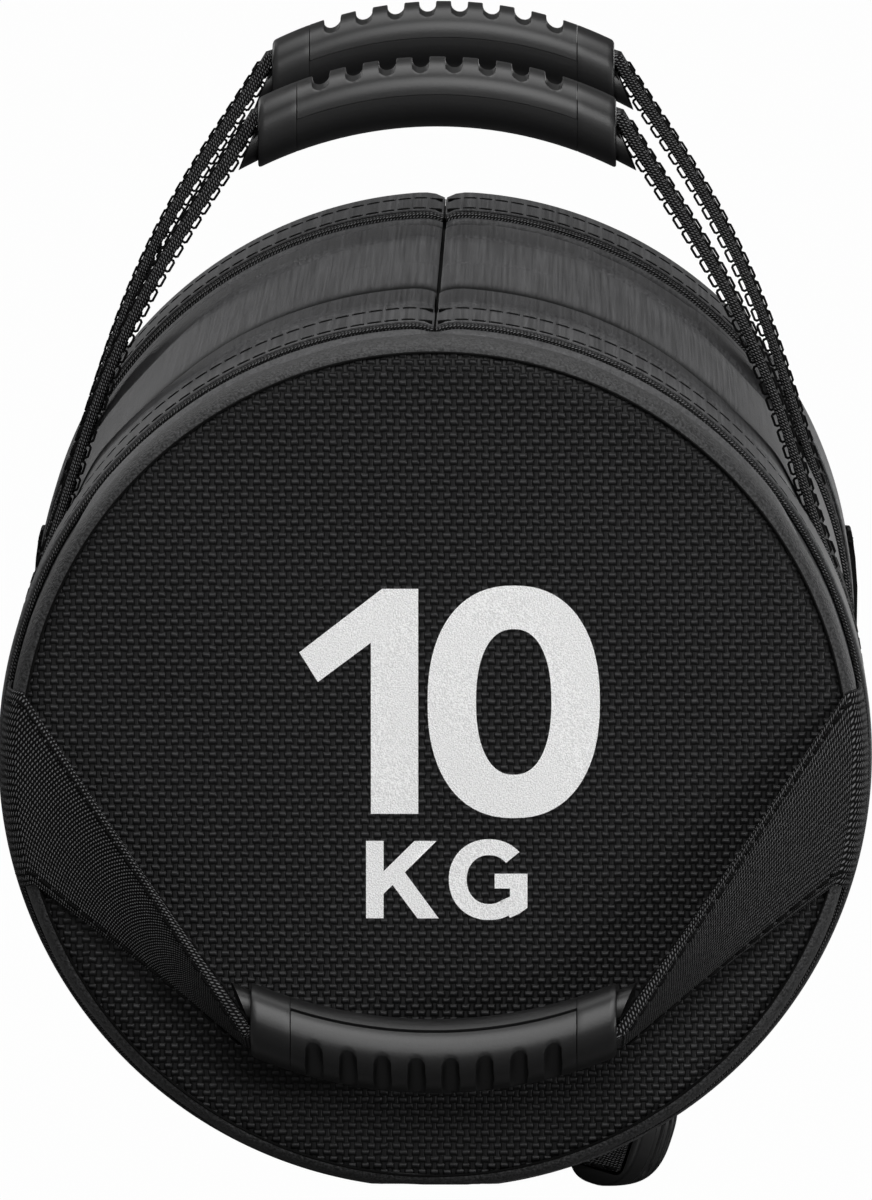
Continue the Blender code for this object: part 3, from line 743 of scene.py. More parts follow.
def round_stroke(centre, outer, inner, start=0, stop=360, power=2.3):
    """A band between two rounded outlines, as a closed outline or, for a full turn, two of them."""
    def edge(reach, first, last):
        turns = [math.radians(turn) for turn in spread(first, last, STROKE_STEPS + 1)]
        points = [rounded_point(turn, *reach, power) for turn in turns]
        return [(centre[0] + x, centre[1] + z) for x, z in points]
    if stop - start == 360:
        return [edge(outer, 0, 360)[:-1], edge(inner, 0, 360)[:-1]]
    return [edge(outer, start, stop) + edge(inner, stop, start)]


# Outlines in millimetres from the panel's centre, to the right and up
MARKS = {
    "one": [[(-4.3, 47.5), (-4.3, -13.1), (-17.0, -13.1), (-17.0, 33.0), (-31.2, 22.4),
             (-36.2, 30.4), (-14.0, 47.5)]],
    "nought": round_stroke((21.3, 17.1), (23.1, 31.3), (10.1, 19.6)),
    "letter_k": [[(-18.3, -20.4), (-13.6, -20.4), (-13.6, -28.6), (-5.3, -20.4), (0.6, -20.4),
                  (-7.9, -28.9), (1.2, -41.3), (-4.5, -41.3), (-11.2, -32.3), (-13.6, -34.7),
                  (-13.6, -41.3), (-18.3, -41.3)]],
    "letter_g": round_stroke((14.7, -30.8), (10.8, 10.9), (6.0, 6.6), 42, 302, 2.1),
    "g_spur": [[(16.2, -29.2), (25.0, -29.2), (25.0, -38.4), (22.8, -40.0), (20.3, -41.1),
                (17.6, -36.6), (20.3, -35.4), (20.3, -33.2), (16.2, -33.2)]],
}

# %% Lay the mark on the panel
def add_mark(name, outlines):
    """One figure or letter: filled by a flat curve, cut into small faces and laid on the panel."""
    curve = bpy.data.curves.new(name, "CURVE")
    curve.dimensions = "2D"
    curve.fill_mode = "FRONT"
    for outline in outlines:
        spline = curve.splines.new("POLY")
        spline.points.add(len(outline) - 1)
        for corner, (x, z) in zip(spline.points, outline):
            corner.co = (x / 1000, z / 1000, 0, 1)
        spline.use_cyclic_u = True
    flat = bpy.data.objects.new(name, curve)
    bpy.context.collection.objects.link(flat)
    mesh = evaluated_mesh(flat)
    bpy.data.objects.remove(flat)
    bm = bmesh.new()
    bm.from_mesh(mesh)
    for axis in (Vector((1, 0, 0)), Vector((0, 1, 0))):
        for step in range(-12, 17):
            everything = bm.verts[:] + bm.edges[:] + bm.faces[:]
            place = axis * step * MARK_CUT
            bmesh.ops.bisect_plane(bm, geom=everything, plane_co=place, plane_no=axis)
    for vertex in bm.verts:
        x, z = vertex.co.x, vertex.co.y
        vertex.co = AXIS + Vector((x, -(PANEL_PLANE + panel_height(x, z) + MARK_PROUD), z))
    bm.to_mesh(mesh)
    bm.free()
    mesh.materials.clear()
    mark = finish_mesh("weight_mark_" + name, mesh, white_print, 180)
    for polygon in mark.data.polygons:
        if polygon.normal.y > 0:
            polygon.flip()
    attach(mark, "bag")


for mark_name, mark_outlines in MARKS.items():
    add_mark(mark_name, mark_outlines)
print("weight mark", len(MARKS), "pieces")

# %% [markdown]
# ## Bands and belly straps
#
# Webbing 50 mm wide goes round the bag near each end, and two more straps go under the belly and
# come up to the carrying handles. The bands are faced with the cover's vinyl and show their woven
# core only as a rough edge, and the rear one runs on to the rim. Every strip here is the same
# thing: rows of points across it, and a section round each row that thins towards the two edges.

# %% A strip with rounded edges
EDGE_SHARES = (-0.5, -0.49, -0.46, -0.35, -0.2, 0.0, 0.2, 0.35, 0.46, 0.49, 0.5)
EDGE_THICKNESS_SHARES = (0.35, 0.75, 0.97, 1, 1, 1, 1, 1, 0.97, 0.75, 0.35)
MIDDLE = 5


def add_strip(name, rows, thicknesses, material):
    """A strip with a closed section round each of its rows, from points along its middle."""
    rings = []
    for i, row in enumerate(rows):
        before = rows[max(i - 1, 0)]
        after = rows[min(i + 1, len(rows) - 1)]
        front, back = [], []
        for j, point in enumerate(row):
            along = (after[j] - before[j]).normalized()
            across = (row[min(j + 1, len(row) - 1)] - row[max(j - 1, 0)]).normalized()
            half = thicknesses[i] / 2 * EDGE_THICKNESS_SHARES[j]
            shift = along.cross(across).normalized() * half
            front.append(point + shift)
            back.append(point - shift)
        rings.append(front + back[::-1])
    return skin(name, rings, material, around=True, ends=True)


def add_hoop(name, half_angle, count, middle, width, offset, thickness, material, dip=0.0):
    """A strip that goes round the bag below, from its left end to its right."""
    rows = []
    for angle in spread(-half_angle, half_angle, count + 1):
        lift = offset - seam_dip(angle, SEAM_REACH, dip)
        rows.append([on_shell(angle, middle + width * share, lift) for share in EDGE_SHARES])
    return add_strip(name, rows, [thickness] * len(rows), material)

# %% The bands and the straps
BAND_HALF_ANGLE = math.pi - 0.0005 / BODY_RADIUS
CORE_THICKNESS = 0.0018
CORE_SHOWING = 0.0022
CORE_DIP = 0.0022
FACING_MIDDLE = 0.0023
FACING_THICKNESS = 0.0011
FACING_DIP = 0.0026
REAR_BAND_WIDTH = 0.0705
REAR_BAND_RISE = 0.0008


def add_bands(side, end):
    """One band that meets itself at the seam on top, and one strap up to its handle."""
    width, rise = (WEBBING_WIDTH, 0.0) if side == "front" else (REAR_BAND_WIDTH, REAR_BAND_RISE)
    middle = (BAND_EDGE - WEBBING_WIDTH) * end + width / 2 * end
    core = add_hoop(side + "_band_core", BAND_HALF_ANGLE, 300, middle, width,
                    0.0011 + rise / 2, CORE_THICKNESS + rise, cut_webbing, CORE_DIP)
    facing = add_hoop(side + "_band_facing", BAND_HALF_ANGLE, 300, middle,
                      width - 2 * CORE_SHOWING, FACING_MIDDLE + rise, FACING_THICKNESS,
                      body_vinyl, FACING_DIP)
    for strip in (core, facing):
        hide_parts(side + "_end_band")
        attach(strip, "bag")
    strap = add_hoop(side + "_strap", STRAP_HALF_ANGLE, 220, end * TOP_HANDLE_OFFSET,
                     WEBBING_WIDTH, STRAP_MIDDLE, WEBBING_THICKNESS, strap_webbing)
    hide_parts(side + "_belly_strap")
    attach(strap, "bag")


for side_name, end_sign in ENDS:
    add_bands(side_name, end_sign)

# %% [markdown]
# ## Where the handles are
#
# Every handle is worked out in a frame of its own: across between its legs, along the width of its
# webbing, and outward to its grip. Then one set of functions makes all five, and only the hinge
# and the directions differ. The grip bows outward in an arc.

# %% The five handle frames
GRIP_LENGTH = 0.0978
GRIP_HALF = GRIP_LENGTH / 2
GRIP_THICKNESS = 0.0190
GRIP_WIDTH = 0.0280
TOP_REACH = 0.1611
TOP_LIFTS = (0.00045, -0.00070)
END_LEAN = math.radians(15.7)
END_SPLIT_ROLL = math.radians(20)
BELLY_ANGLE = math.radians(8.9)
BELLY_LEAN = math.radians(72)
STRAP_RADIUS = BODY_RADIUS + STRAP_MIDDLE


class Handle:
    """A handle's own frame, with its hinge in metres from the bag's axis."""

    def __init__(self, name, hinge, across, outward, reach, sagitta, roll=0.0, split_gap=0.00008):
        self.name = name
        self.roll = roll
        self.split_gap = split_gap
        self.hinge = Vector(hinge)
        self.reach = reach
        self.sagitta = sagitta
        across, outward = Vector(across), Vector(outward)
        self.turn = Matrix((across, outward.cross(across), outward)).transposed()

    def point(self, x, w, n):
        """The point at a place across, along the width and outward, from the bag's axis."""
        return self.turn @ Vector((x, w, n)) + self.hinge

    def local(self, point):
        """The same three numbers for a point that is given from the bag's axis."""
        return self.turn.transposed() @ (Vector(point) - self.hinge)

    def arch(self, x):
        """How far outward the grip's middle line is at a place across."""
        radius = (GRIP_HALF ** 2 + self.sagitta ** 2) / (2 * self.sagitta)
        chord = math.sqrt(radius ** 2 - GRIP_HALF ** 2)
        return self.reach + math.sqrt(radius ** 2 - x ** 2) - chord


landing_z = STRAP_RADIUS * math.sin(LANDING)
TOP_HANDLES = [
    Handle(side + "_top_handle", (0, end * TOP_HANDLE_OFFSET, landing_z), (1, 0, 0), (0, 0, 1),
           TOP_REACH - landing_z + lift, 0.0114)
    for (side, end), lift in zip(ENDS, TOP_LIFTS)
]
END_HANDLES = [
    Handle(side + "_end_handle", (0, end * HALF_LENGTH, -0.006), (-end, 0, 0),
           (0, end * math.sin(END_LEAN), -math.cos(END_LEAN)), 0.063, 0.0100,
           END_SPLIT_ROLL, 0.0003)
    for side, end in ENDS
]
BELLY_HANDLE = Handle("belly_handle", turned(BELLY_ANGLE, STRAP_RADIUS), (0, 1, 0),
                      turned(BELLY_LEAN), 0.030, 0.0100)
ALL_HANDLES = TOP_HANDLES + END_HANDLES + [BELLY_HANDLE]
print("handles", len(ALL_HANDLES))

# %% [markdown]
# ## The moulded grips
#
# A grip is a rubber sleeve with a collar at each end. A saddle lies in its back between the
# collars, with eight round-bottomed slots for the fingers, and a smooth core runs through the
# sleeve beside the webbing and stands out of both ends, cut slanting. The collars and slots have
# small roundings, because a mould has them and because an edge only shows where it takes light.

# %% Sections across a grip
COLLAR_LENGTH = 0.0106
COLLAR_START = GRIP_HALF - COLLAR_LENGTH
SADDLE_THICKNESS = 0.0049
SADDLE_SIDE = 0.0025
CAVITY_FLOOR = -GRIP_THICKNESS / 2 + 0.0018
CAVITY_ROOF = GRIP_THICKNESS / 2 - SADDLE_THICKNESS - FIT_GAP - 0.0014
CAVITY_HALF = 0.0098
FOLDED_WIDTH = 0.0172
FOLDED_THICKNESS = 0.0034
CORE_GAP = 0.0004
CORE_HALF = 0.0088
CORE_SLANT = 0.0055
WEBBING_LIFT = CAVITY_ROOF - 2 * CORE_GAP - FOLDED_THICKNESS / 2
CORE_ROOF = WEBBING_LIFT - FOLDED_THICKNESS / 2 - CORE_GAP
CORE_FLOOR = CAVITY_FLOOR + CORE_GAP
MOUTH_RISE = 0.0046
ROUND_POWER = 2.6
SHARP_FROM = 32
SQUARE_POWER = 8


def mouth_rise(x):
    """How far the opening in a collar climbs towards the end of the grip."""
    return MOUTH_RISE * min(max((abs(x) - COLLAR_START) / COLLAR_LENGTH, 0), 1)


# %% The sleeve with its two collars
SLEEVE_POINTS = 56
# Places across on the collar's two edges, and how far the outline is drawn in there
COLLAR_ROUNDING = ((GRIP_HALF, 0.0007), (GRIP_HALF - 0.0003, 0.0002), (GRIP_HALF - 0.0008, 0.0))
COLLAR_INNER_EDGE = ((COLLAR_START + 0.0005, 0.0), (COLLAR_START + 0.0001, 0.00005),
                     (COLLAR_START, 0.00015))


def add_sleeve(handle):
    """Outer rings from one collar over the trough to the other, then back through the cavity."""
    collar = list(COLLAR_ROUNDING)
    collar += [(x, 0.0) for x in spread(GRIP_HALF - 0.002, COLLAR_START + 0.002, 5)]
    collar += COLLAR_INNER_EDGE
    right = [(x, inset, False) for x, inset in collar]
    right += [(x, 0.0, True) for x in spread(COLLAR_START - 0.0001, 0, 14)]
    places = [(-x, inset, hollowed) for x, inset, hollowed in right[:-1]] + right[::-1]
    trough_half = GRIP_WIDTH / 2 - SADDLE_SIDE - FIT_GAP
    trough_height = GRIP_THICKNESS / 2 - SADDLE_THICKNESS - FIT_GAP
    rings = []
    for x, inset, hollowed in places:
        ring = []
        for turn in full_turn(SLEEVE_POINTS):
            sizes = (GRIP_WIDTH / 2 - inset, GRIP_THICKNESS / 2 - inset)
            if hollowed and 0 < (turn + handle.roll) % (2 * math.pi) < math.pi - 0.001:
                sizes = (trough_half, trough_height)
            w, n = rounded_point(turn, *sizes, ROUND_POWER)
            ring.append(handle.point(x, w, handle.arch(x) + n))
        rings.append(ring)
    for x, _, _ in reversed(places):
        roof = CAVITY_ROOF + mouth_rise(x)
        middle = handle.arch(x) + (roof + CAVITY_FLOOR) / 2
        section = [rounded_point(turn, CAVITY_HALF, (roof - CAVITY_FLOOR) / 2, SQUARE_POWER)
                   for turn in full_turn(SLEEVE_POINTS)]
        rings.append([handle.point(x, w, middle + n) for w, n in section])
    rings.append(rings[0])
    sleeve = skin(handle.name + "_sleeve", rings, grip_rubber, around=True, sharp=SHARP_FROM)
    return merge_seams(sleeve)

# %% [markdown]
# The slots are cut from the saddle's back straight down, all at one depth. So the back is the
# lower of two heights: the rounded section, and the bottom of a slot. Rows of points stand close
# together at each lip, where the height turns over.

# %% The notched saddle
NOTCH_COUNT = 8
NOTCH_PITCH = 0.0091
NOTCH_HALF = 0.0024
NOTCH_DEPTH = 0.0036
# Points of a slot's rounded lip: how far beside the slot, and how deep
LIP = ((0.00055, 0.0), (0.00030, 0.00006), (0.00012, 0.00022), (0.0, 0.00052))
SADDLE_HALF = COLLAR_START - 0.0002
END_BOW = 0.00017


def notch_profile():
    """Pairs of a place across and how deep the back is cut there."""
    pairs = [(-SADDLE_HALF, 0.00015), (-SADDLE_HALF + 0.00015, 0.0)]
    for i in range(NOTCH_COUNT):
        middle = (i - (NOTCH_COUNT - 1) / 2) * NOTCH_PITCH
        pairs += [(middle - NOTCH_HALF - out, depth) for out, depth in LIP]
        for turn in spread(0, math.pi, 11):
            deep = NOTCH_DEPTH - NOTCH_HALF + NOTCH_HALF * math.sin(turn)
            pairs.append((middle - 0.9999 * NOTCH_HALF * math.cos(turn), deep))
        pairs += [(middle + NOTCH_HALF + out, depth) for out, depth in reversed(LIP)]
    return pairs + [(SADDLE_HALF - 0.00015, 0.0), (SADDLE_HALF, 0.00015)]


def end_bow(x, w):
    """How far the saddle's end faces bow out to the collars, which closes the gap to light."""
    if abs(x) <= COLLAR_START - 0.0003:
        return 0.0
    return math.copysign(END_BOW * max(1 - (2 * w / GRIP_WIDTH) ** 2, 0), x)


def add_saddle(handle):
    """Rings across the saddle: over its back, cut by the slots, and back along its underside."""
    back = (GRIP_WIDTH / 2, GRIP_THICKNESS / 2)
    underside = (back[0] - SADDLE_SIDE, back[1] - SADDLE_THICKNESS)
    side, up = math.sin(handle.roll), math.cos(handle.roll)
    turns = spread(0.004 - handle.roll, math.pi - 0.004 - handle.roll, 45)
    top = max(w * side + n * up
              for w, n in (rounded_point(turn, *back, ROUND_POWER) for turn in turns))
    rows = []
    for x, depth in notch_profile():
        row = []
        for sizes, sheet, limit in ((back, turns, top - depth), (underside, turns[::-1], top)):
            for turn in sheet:
                w, n = rounded_point(turn, *sizes, ROUND_POWER)
                rise = w * side + n * up
                kept = max(min(rise, limit), handle.split_gap) - rise
                out = end_bow(x, w) if sizes is back else 0.0
                row.append(handle.point(x + out, w + kept * side, handle.arch(x) + n + kept * up))
        rows.append(row)
    name = handle.name + "_saddle"
    return skin(name, rows, grip_rubber, around=True, ends=True, sharp=SHARP_FROM)

# %% The core and its slanting ends
def add_core(handle):
    """A smooth bar under the webbing. Its ends are cut slanting, longest at the floor."""
    places = [(GRIP_HALF, 1.0), (GRIP_HALF, 0.96)]
    places += [(x, 0.0) for x in spread(GRIP_HALF - 0.002, 0, 10)]
    places = [(-x, end) for x, end in places[:-1]] + places[::-1]
    rows = []
    for x, end in places:
        roof = CORE_ROOF + mouth_rise(x)
        height = roof - CORE_FLOOR
        inset = 0.93 if end == 1.0 else 1.0
        row = []
        for turn in full_turn(32):
            w, n = rounded_point(turn, CORE_HALF, height / 2, ROUND_POWER)
            n += (roof + CORE_FLOOR) / 2
            reach = x + math.copysign(CORE_SLANT * (roof - n) / height, x) * end
            row.append(handle.point(reach, w * inset, handle.arch(reach) + n))
        rows.append(row)
    name = handle.name + "_core"
    return skin(name, rows, core_rubber, around=True, ends=True, sharp=SHARP_FROM)


GRIP_PIECES = ((add_sleeve, "_grip_sleeve", "grip_rubber"),
               (add_saddle, "_grip_saddle", "grip_rubber"),
               (add_core, "_grip_core", "core_rubber"))
for grip_handle in ALL_HANDLES:
    for make, node_name, slot_name in GRIP_PIECES:
        grip_piece = make(grip_handle)
        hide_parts(grip_handle.name + node_name)
        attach(grip_piece, grip_handle.name)

# %% [markdown]
# ## The handles' webbing
#
# Each handle has one length of webbing, sewn down at both ends. It leaves its root 50 mm wide, is
# gathered on the way, and runs through the grip folded to a third of its width.

# %% Legs of webbing
LEG_STEPS = 26
TOP_LEG_BOW = 0.0065
END_LEG_THICKNESS = 0.0014
# How far an end leg's root reaches below and above the middle, and the height of a band below it
END_ROOT_BELOW, END_ROOT_ABOVE = 0.033, 0.020
BAND_HEIGHT = 0.0028
# How far the first rows of the belly leg are from its root
BELLY_ROOT = (0.0, 0.010, 0.020, 0.0227)


def grip_row(handle, x, lift):
    """The gathered webbing's middle surface at a place across the grip, in the handle's frame."""
    return [Vector((x, FOLDED_WIDTH * share, handle.arch(x) + lift)) for share in EDGE_SHARES]


def leg_rows(handle, root_rows, bow=0.0):
    """Rows from a root on the +across side to the middle of the grip, in the handle's frame."""
    mouth = grip_row(handle, GRIP_HALF, WEBBING_LIFT + MOUTH_RISE)
    leaving = [point + Vector((2 * CORE_GAP, 0, 0)) for point in mouth]
    start = root_rows[-1]
    chord = (leaving[MIDDLE] - start[MIDDLE]).normalized()
    away = Vector((chord.z, 0, -chord.x))
    rows = list(root_rows)
    for k in range(1, LEG_STEPS):
        t = k / LEG_STEPS
        swell = away * bow * math.sin(math.pi * t) ** 1.25
        rows.append([a.lerp(b, t) + swell for a, b in zip(start, leaving)])
    rows.append(leaving)
    inside = spread(GRIP_HALF, 0, 14)
    return rows + [grip_row(handle, x, WEBBING_LIFT + mouth_rise(x)) for x in inside]


def leg_thicknesses(rows, roots, thickness):
    """The webbing's thickness at each row: its own at the root, and folded at the grip."""
    gathered = [min(max(k - roots, 0) / LEG_STEPS, 1) for k in range(len(rows))]
    return [thickness + (FOLDED_THICKNESS - thickness) * share ** 1.5 for share in gathered]


def placed(handle, rows, side):
    """Rows in a handle's frame, or their mirror image, as points from the bag's axis."""
    return [[handle.point(side * point.x, point.y, point.z) for point in row] for row in rows]

# %% Rows for each kind of handle
def top_leg(handle):
    """From the end of the belly strap straight up to the grip, bowed out a little."""
    start = Vector((STRAP_RADIUS * math.cos(LANDING), handle.hinge.y, landing_z))
    root = [handle.local(start + Vector((0, WEBBING_WIDTH * share, 0))) for share in EDGE_SHARES]
    return leg_rows(handle, [root], TOP_LEG_BOW), 1, WEBBING_THICKNESS


def end_leg(handle):
    """From behind the rim round its edge, then slanting over the end panel to the grip."""
    end = 1 if handle.hinge.y > 0 else -1
    lift = FIT_GAP + END_LEG_THICKNESS / 2
    over_band = BAND_HEIGHT + REAR_BAND_RISE if end > 0 else 0.0
    low, high = -math.asin(END_ROOT_BELOW / BODY_RADIUS), math.asin(END_ROOT_ABOVE / BODY_RADIUS)
    angles = [(low + high) / 2 + (high - low) * share for share in EDGE_SHARES]
    sections = [(BODY_RADIUS + lift + over_band, BAND_EDGE - 0.0010)]
    for turn in spread(90, 12, 12):
        extra = over_band * max((turn - 45) / 45, 0)
        sections.append(rim_section(math.radians(turn), lift + extra))
    rows = [[handle.local((-end * radius * math.cos(angle), end * y, radius * math.sin(angle)))
             for angle in angles] for radius, y in sections]
    return leg_rows(handle, rows), len(rows), END_LEG_THICKNESS


def belly_leg(handle):
    """From its sewn end along the belly to the grip."""
    angles = [BELLY_ANGLE + WEBBING_WIDTH / BODY_RADIUS * share for share in EDGE_SHARES]
    outer = TOP_HANDLE_OFFSET - WEBBING_WIDTH / 2 - FIT_GAP
    rows = [[handle.local(on_shell(angle, outer - inward, STRAP_MIDDLE)) for angle in angles]
            for inward in BELLY_ROOT]
    return leg_rows(handle, rows), len(rows), WEBBING_THICKNESS

# %% [markdown]
# ## Stitches
#
# The seams are sewn with thick bonded thread. One stitch comes out of the cloth, runs 3.4 mm and
# goes in again, and the next one starts 4.6 mm on. A Geometry Nodes tree makes one stitch as a
# rounded rectangle of thread that is half sunk, spaces copies along a line, and turns each to lie
# along the line. On the inner face of a top handle's legs, along the front edge, the thread is
# loose and stands off in small loops. Everywhere else it is pulled tight.

# %% A tree that sews along a line
STITCH_PITCH = 0.0046
STITCH_LENGTH = 0.0034
THREAD_RADIUS = 0.00042
STITCH_INPUTS = {"Geometry": "Geometry", "Pitch": "Float", "Stitch length": "Float",
                 "Stand-off": "Float", "Thread radius": "Float", "Thread": "Material"}


def stitch_tree():
    """Geometry Nodes: stitches at a pitch along a line whose points carry an outward direction."""
    tree = bpy.data.node_groups.new("stitch_row", "GeometryNodeTree")
    for label, kind in STITCH_INPUTS.items():
        tree.interface.new_socket(label, in_out="INPUT", socket_type="NodeSocket" + kind)
    tree.interface.new_socket("Geometry", in_out="OUTPUT", socket_type="NodeSocketGeometry")
    given = tree.nodes.new("NodeGroupInput").outputs
    radius = given["Thread radius"]
    nodes = Nodes(tree)
    add = nodes.add
    line = add("GeometryNodeMeshToCurve", {"Mesh": given["Geometry"]})
    spaced = add("GeometryNodeResampleCurve", {"Curve": line, "Length": given["Pitch"]},
                 mode="LENGTH")
    height = nodes.math("MULTIPLY", given["Stand-off"], 2.0)
    loop = add("GeometryNodeCurvePrimitiveQuadrilateral",
               {"Width": given["Stitch length"], "Height": height})
    loop = add("GeometryNodeFilletCurve", {"Curve": loop, "Radius": radius}, mode="BEZIER")
    loop = add("GeometryNodeTransform", {"Geometry": loop, "Rotation": (math.pi / 2, 0.0, 0.0)})
    section = add("GeometryNodeCurvePrimitiveCircle", {"Resolution": 6, "Radius": radius})
    stitch = add("GeometryNodeCurveToMesh",
                 {"Curve": loop, "Profile Curve": section, "Fill Caps": True})
    outward = add("GeometryNodeInputNamedAttribute", {"Name": "outward"},
                  data_type="FLOAT_VECTOR")
    axes = {"Primary Axis": add("GeometryNodeInputTangent"), "Secondary Axis": outward}
    turn = add("FunctionNodeAxesToRotation", axes, primary_axis="X", secondary_axis="Z")
    row = add("GeometryNodeInstanceOnPoints",
              {"Points": spaced, "Instance": stitch, "Rotation": turn})
    real = add("GeometryNodeRealizeInstances", {"Geometry": row})
    finished = add("GeometryNodeSetMaterial", {"Geometry": real, "Material": given["Thread"]})
    nodes.node("NodeGroupOutput", {"Geometry": finished})
    return tree


stitches = stitch_tree()


def sew(name, lines, stand_off, thread=THREAD_RADIUS):
    """Stitches along lines of (point, outward) pairs, as one plain mesh."""
    points, outwards, edges = [], [], []
    for line in lines:
        first = len(points)
        points += [point + AXIS for point, _ in line]
        outwards += [value for _, outward in line for value in outward.normalized()]
        edges += [(first + i, first + i + 1) for i in range(len(line) - 1)]
    mesh = bpy.data.meshes.new(name)
    mesh.from_pydata(points, edges, [])
    mesh.attributes.new("outward", "FLOAT_VECTOR", "POINT").data.foreach_set("vector", outwards)
    sewn = bpy.data.objects.new(name, mesh)
    modifier = sewn.modifiers.new("stitches", "NODES")
    modifier.node_group = stitches
    values = {"Pitch": STITCH_PITCH, "Stitch length": STITCH_LENGTH, "Stand-off": stand_off,
              "Thread radius": thread, "Thread": black_thread}
    for item in stitches.interface.items_tree:
        if item.in_out == "INPUT" and item.name in values:
            modifier[item.identifier] = values[item.name]
    bpy.context.collection.objects.link(sewn)
    finished = evaluated_mesh(sewn)
    sewn.modifiers.clear()
    sewn.data = finished
    finished.shade_smooth()
    return sewn

# %% [markdown]
# A seam runs along a strip at a share of its width, on one face or the other. The same rows of
# points that made the strip give the line and the direction that the stitches stand off in.

# %% Seams along a strip
# A seam's share of the width from the middle, the loose seam of a top handle's leg by its share
# and its face, and how far a loose and a tight thread stand off
EDGE_SEAM = 0.44
LOOSE_SEAM = (-EDGE_SEAM, 1)
LOOSE, TIGHT = 0.0012, 0.0005
# Where a leg's blend would start and end: in metres of height at the top, and in rows at the ends
# and the belly. They are worked out but not used.
TOP_BEND = (-0.001, 0.020)
END_BEND_ROWS = 10
BELLY_BEND_ROWS = 20


def seam_along(rows, thicknesses, share, face, count):
    """Points along a strip at a share of its width from its middle, on its front or its back."""
    line = []
    for i in range(count):
        row, before, after = rows[i], rows[max(i - 1, 0)], rows[min(i + 1, len(rows) - 1)]
        along = (after[MIDDLE] - before[MIDDLE]).normalized()
        across = (row[-1] - row[0]).normalized()
        normal = along.cross(across).normalized() * face
        place = row[0].lerp(row[-1], share + 0.5)
        line.append((place + normal * (thicknesses[i] / 2 - 0.0001), normal))
    return line


def add_webbing(handle, leg, *nodes):
    """Both legs of one handle with their seams."""
    rows, roots, thickness = leg
    depths = leg_thicknesses(rows, roots, thickness)
    for way, side in (("right", 1), ("left", -1)):
        side_rows = placed(handle, rows, side)
        name = handle.name + "_" + way + "_leg"
        web = add_strip(name, side_rows, depths, strap_webbing)
        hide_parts(handle.name + "_webbing", *nodes)
        bend(web, handle, side_rows, roots)
        for label, stand_off in (("_loose", LOOSE), ("_tight", TIGHT)):
            lines = []
            for share, face in [(a, b) for a in (-EDGE_SEAM, EDGE_SEAM) for b in (-1, 1)]:
                is_loose = handle in TOP_HANDLES and (share, face) == LOOSE_SEAM
                if is_loose == (label == "_loose"):
                    lines.append(seam_along(side_rows, depths, share, face * side,
                                            roots + LEG_STEPS - 1))
            if lines:
                seam = sew(name + label + "_stitches", lines, stand_off)
                bend(seam, handle, side_rows, roots)


def bend(piece, handle, rows, roots):
    """Bakes a piece's placing into its mesh. The blend's ends are worked out but not used."""
    start = rows[roots - 1][MIDDLE]
    if handle in TOP_HANDLES:
        start, end = [Vector((0, 0, start.z + climb)) for climb in TOP_BEND]
    elif handle in END_HANDLES:
        end = Vector((rows[roots + END_BEND_ROWS][MIDDLE].x, 0, 0))
        start = Vector((start.x * 0.985, 0, 0))
    else:
        end = Vector((0, rows[roots + BELLY_BEND_ROWS][MIDDLE].y, 0))
        start = Vector((0, start.y, 0))
    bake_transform(piece)


for top in TOP_HANDLES:
    add_webbing(top, top_leg(top))
for end_handle in END_HANDLES:
    add_webbing(end_handle, end_leg(end_handle), end_handle.name + "_left_anchor",
                end_handle.name + "_right_anchor")
add_webbing(BELLY_HANDLE, belly_leg(BELLY_HANDLE), "belly_handle_front_anchor",
            "belly_handle_rear_anchor")

# %% [markdown]
# The seams that go round the bag lie on the bands, near their front edges and in a second row,
# and on both edges of the belly straps. Below the bag, where it lies, they sink into the webbing.

# %% Seams round the bag
SUNK_DEPTH = 0.0004
# Up to what angle from straight down it holds, and over what angle it fades out, in radians
SUNK_BELOW, SUNK_OVER = 1.9, 0.7
BAND_SEAM_ANGLE = math.pi - 0.022
# Name of each row of stitches, how far it is behind the band's front edge, its height over the
# bag's skin, and the radius of its thread
BAND_ROWS = (("thick", 0.0034, 0.0026, 0.00044), ("thin", 0.042, 0.0027, 0.00042))


def ring_seam(y, offset, half_angle):
    """A line round the bag at a place along it, just over a surface."""
    line = []
    for angle in spread(-half_angle, half_angle, 260):
        sunk = SUNK_DEPTH * (1 - smooth_step((abs(angle) - SUNK_BELOW) / SUNK_OVER))
        lift = offset - sunk - seam_dip(angle, SEAM_REACH, CORE_DIP)
        line.append((on_shell(angle, y, lift), turned(angle)))
    return line


def sew_bag(name, lines, stand_off, thread):
    """Stitches that stay with the bag."""
    sewn = sew(name, lines, stand_off, thread)
    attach(sewn, "bag")
    print(name, len(sewn.data.polygons), "faces")


band_fronts = ((-BAND_EDGE, 0.0), (BAND_EDGE - WEBBING_WIDTH, REAR_BAND_RISE))
for row_name, inward, row_offset, row_thread in BAND_ROWS:
    band_lines = [ring_seam(front + inward, row_offset + rise, BAND_SEAM_ANGLE)
                  for front, rise in band_fronts]
    sew_bag(row_name + "_band_stitches", band_lines, 0.0002, row_thread)
strap_lines = [ring_seam(end * TOP_HANDLE_OFFSET + WEBBING_WIDTH * edge, 0.0026, STRAP_HALF_ANGLE)
               for _, end in ENDS for edge in (-EDGE_SEAM, EDGE_SEAM)]
sew_bag("strap_stitches", strap_lines, 0.0004, 0.00032)

# %% [markdown]
# ## Floor and light
#
# A pale floor lies just below the lowest grip. To the camera it is nearly all a plain white, with
# a share of real light left in, so that the bag's shadow shows. The light is six large soft boxes:
# one above, a strong one high in front, a weak one to the left, a low one to the right, and two
# behind. The world is an even grey, and nothing makes a hard edge.

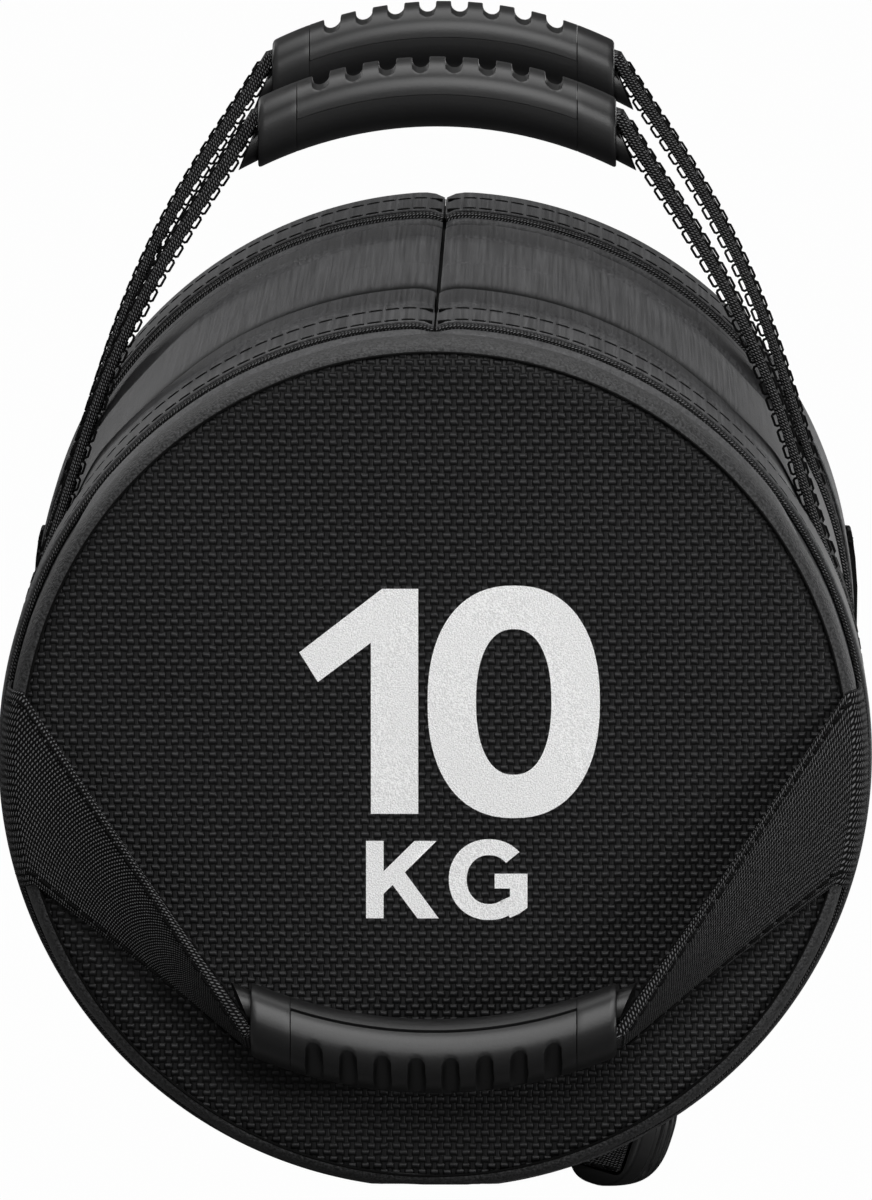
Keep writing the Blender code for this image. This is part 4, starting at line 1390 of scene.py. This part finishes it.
# %% Floor
FLOOR_LEVEL = -0.0005
FLOOR_HALF = 30
floor_mesh = bpy.data.meshes.new("floor")
floor_corners = [(x * FLOOR_HALF, y * FLOOR_HALF, FLOOR_LEVEL)
                 for x, y in ((-1, -1), (1, -1), (1, 1), (-1, 1))]
floor_mesh.from_pydata(floor_corners, [], [(0, 1, 2, 3)])
floor = bpy.data.objects.new("floor", floor_mesh)
bpy.context.collection.objects.link(floor)
paint = Finish("white_painted_floor", 0.9)
paint.give("Base Color", linear("6c6c6c"))
seen = paint.math("MULTIPLY", paint.add("ShaderNodeLightPath", output="Is Camera Ray"), 0.985)
glow = paint.add("ShaderNodeEmission", {"Color": (1, 1, 1, 1), "Strength": 1.0})
mixed = paint.add("ShaderNodeMixShader", {0: seen, 1: paint.shader.outputs[0], 2: glow})
paint.feed(paint.tree.nodes["Material Output"], "Surface", mixed)
floor_mesh.materials.append(paint.material)

# %% Light
def soft_box(name, place, width, height, power):
    """An area light at a place, turned to the bag."""
    data = bpy.data.lights.new(name, "AREA")
    data.shape = "RECTANGLE"
    data.size, data.size_y = width, height
    data.energy = power
    lamp = bpy.data.objects.new(name, data)
    lamp.location = place
    lamp.rotation_euler = (Vector((0, 0, 0.1)) - Vector(place)).to_track_quat("-Z", "Y").to_euler()
    bpy.context.collection.objects.link(lamp)


soft_box("box_above", (0.0, 0.2, 1.9), 1.8, 1.8, 26)
soft_box("box_left", (-1.7, -0.9, 0.9), 0.9, 1.6, 4)
soft_box("box_right", (1.7, -1.2, 0.16), 0.9, 0.25, 16)
soft_box("box_rear", (-1.8, 2.4, 1.2), 1.6, 1.2, 10)
soft_box("box_rear_right", (1.6, 2.2, 0.35), 1.2, 0.6, 10)
soft_box("box_front", (0.3, -2.9, 2.1), 1.6, 2.2, 74)
world = bpy.data.worlds.new("even_grey")
bpy.context.scene.world = world
world.use_nodes = True
sky = Nodes(world.node_tree)
seen = sky.add("ShaderNodeLightPath", output="Is Camera Ray")
background = sky.tree.nodes["Background"]
strength = sky.add("ShaderNodeMix", {"Factor": seen, "A": 0.06, "B": 1.0})
sky.feed(background, "Strength", strength)
sky.feed(background, "Color", (1, 1, 1, 1))
bpy.context.scene.view_settings.view_transform = "Standard"

# %% [markdown]
# ## Finish
#
# The dressed bag has to keep the CAD model's size. The scene is brought up to date at the end.

# %% Finish
bpy.context.view_layer.update()
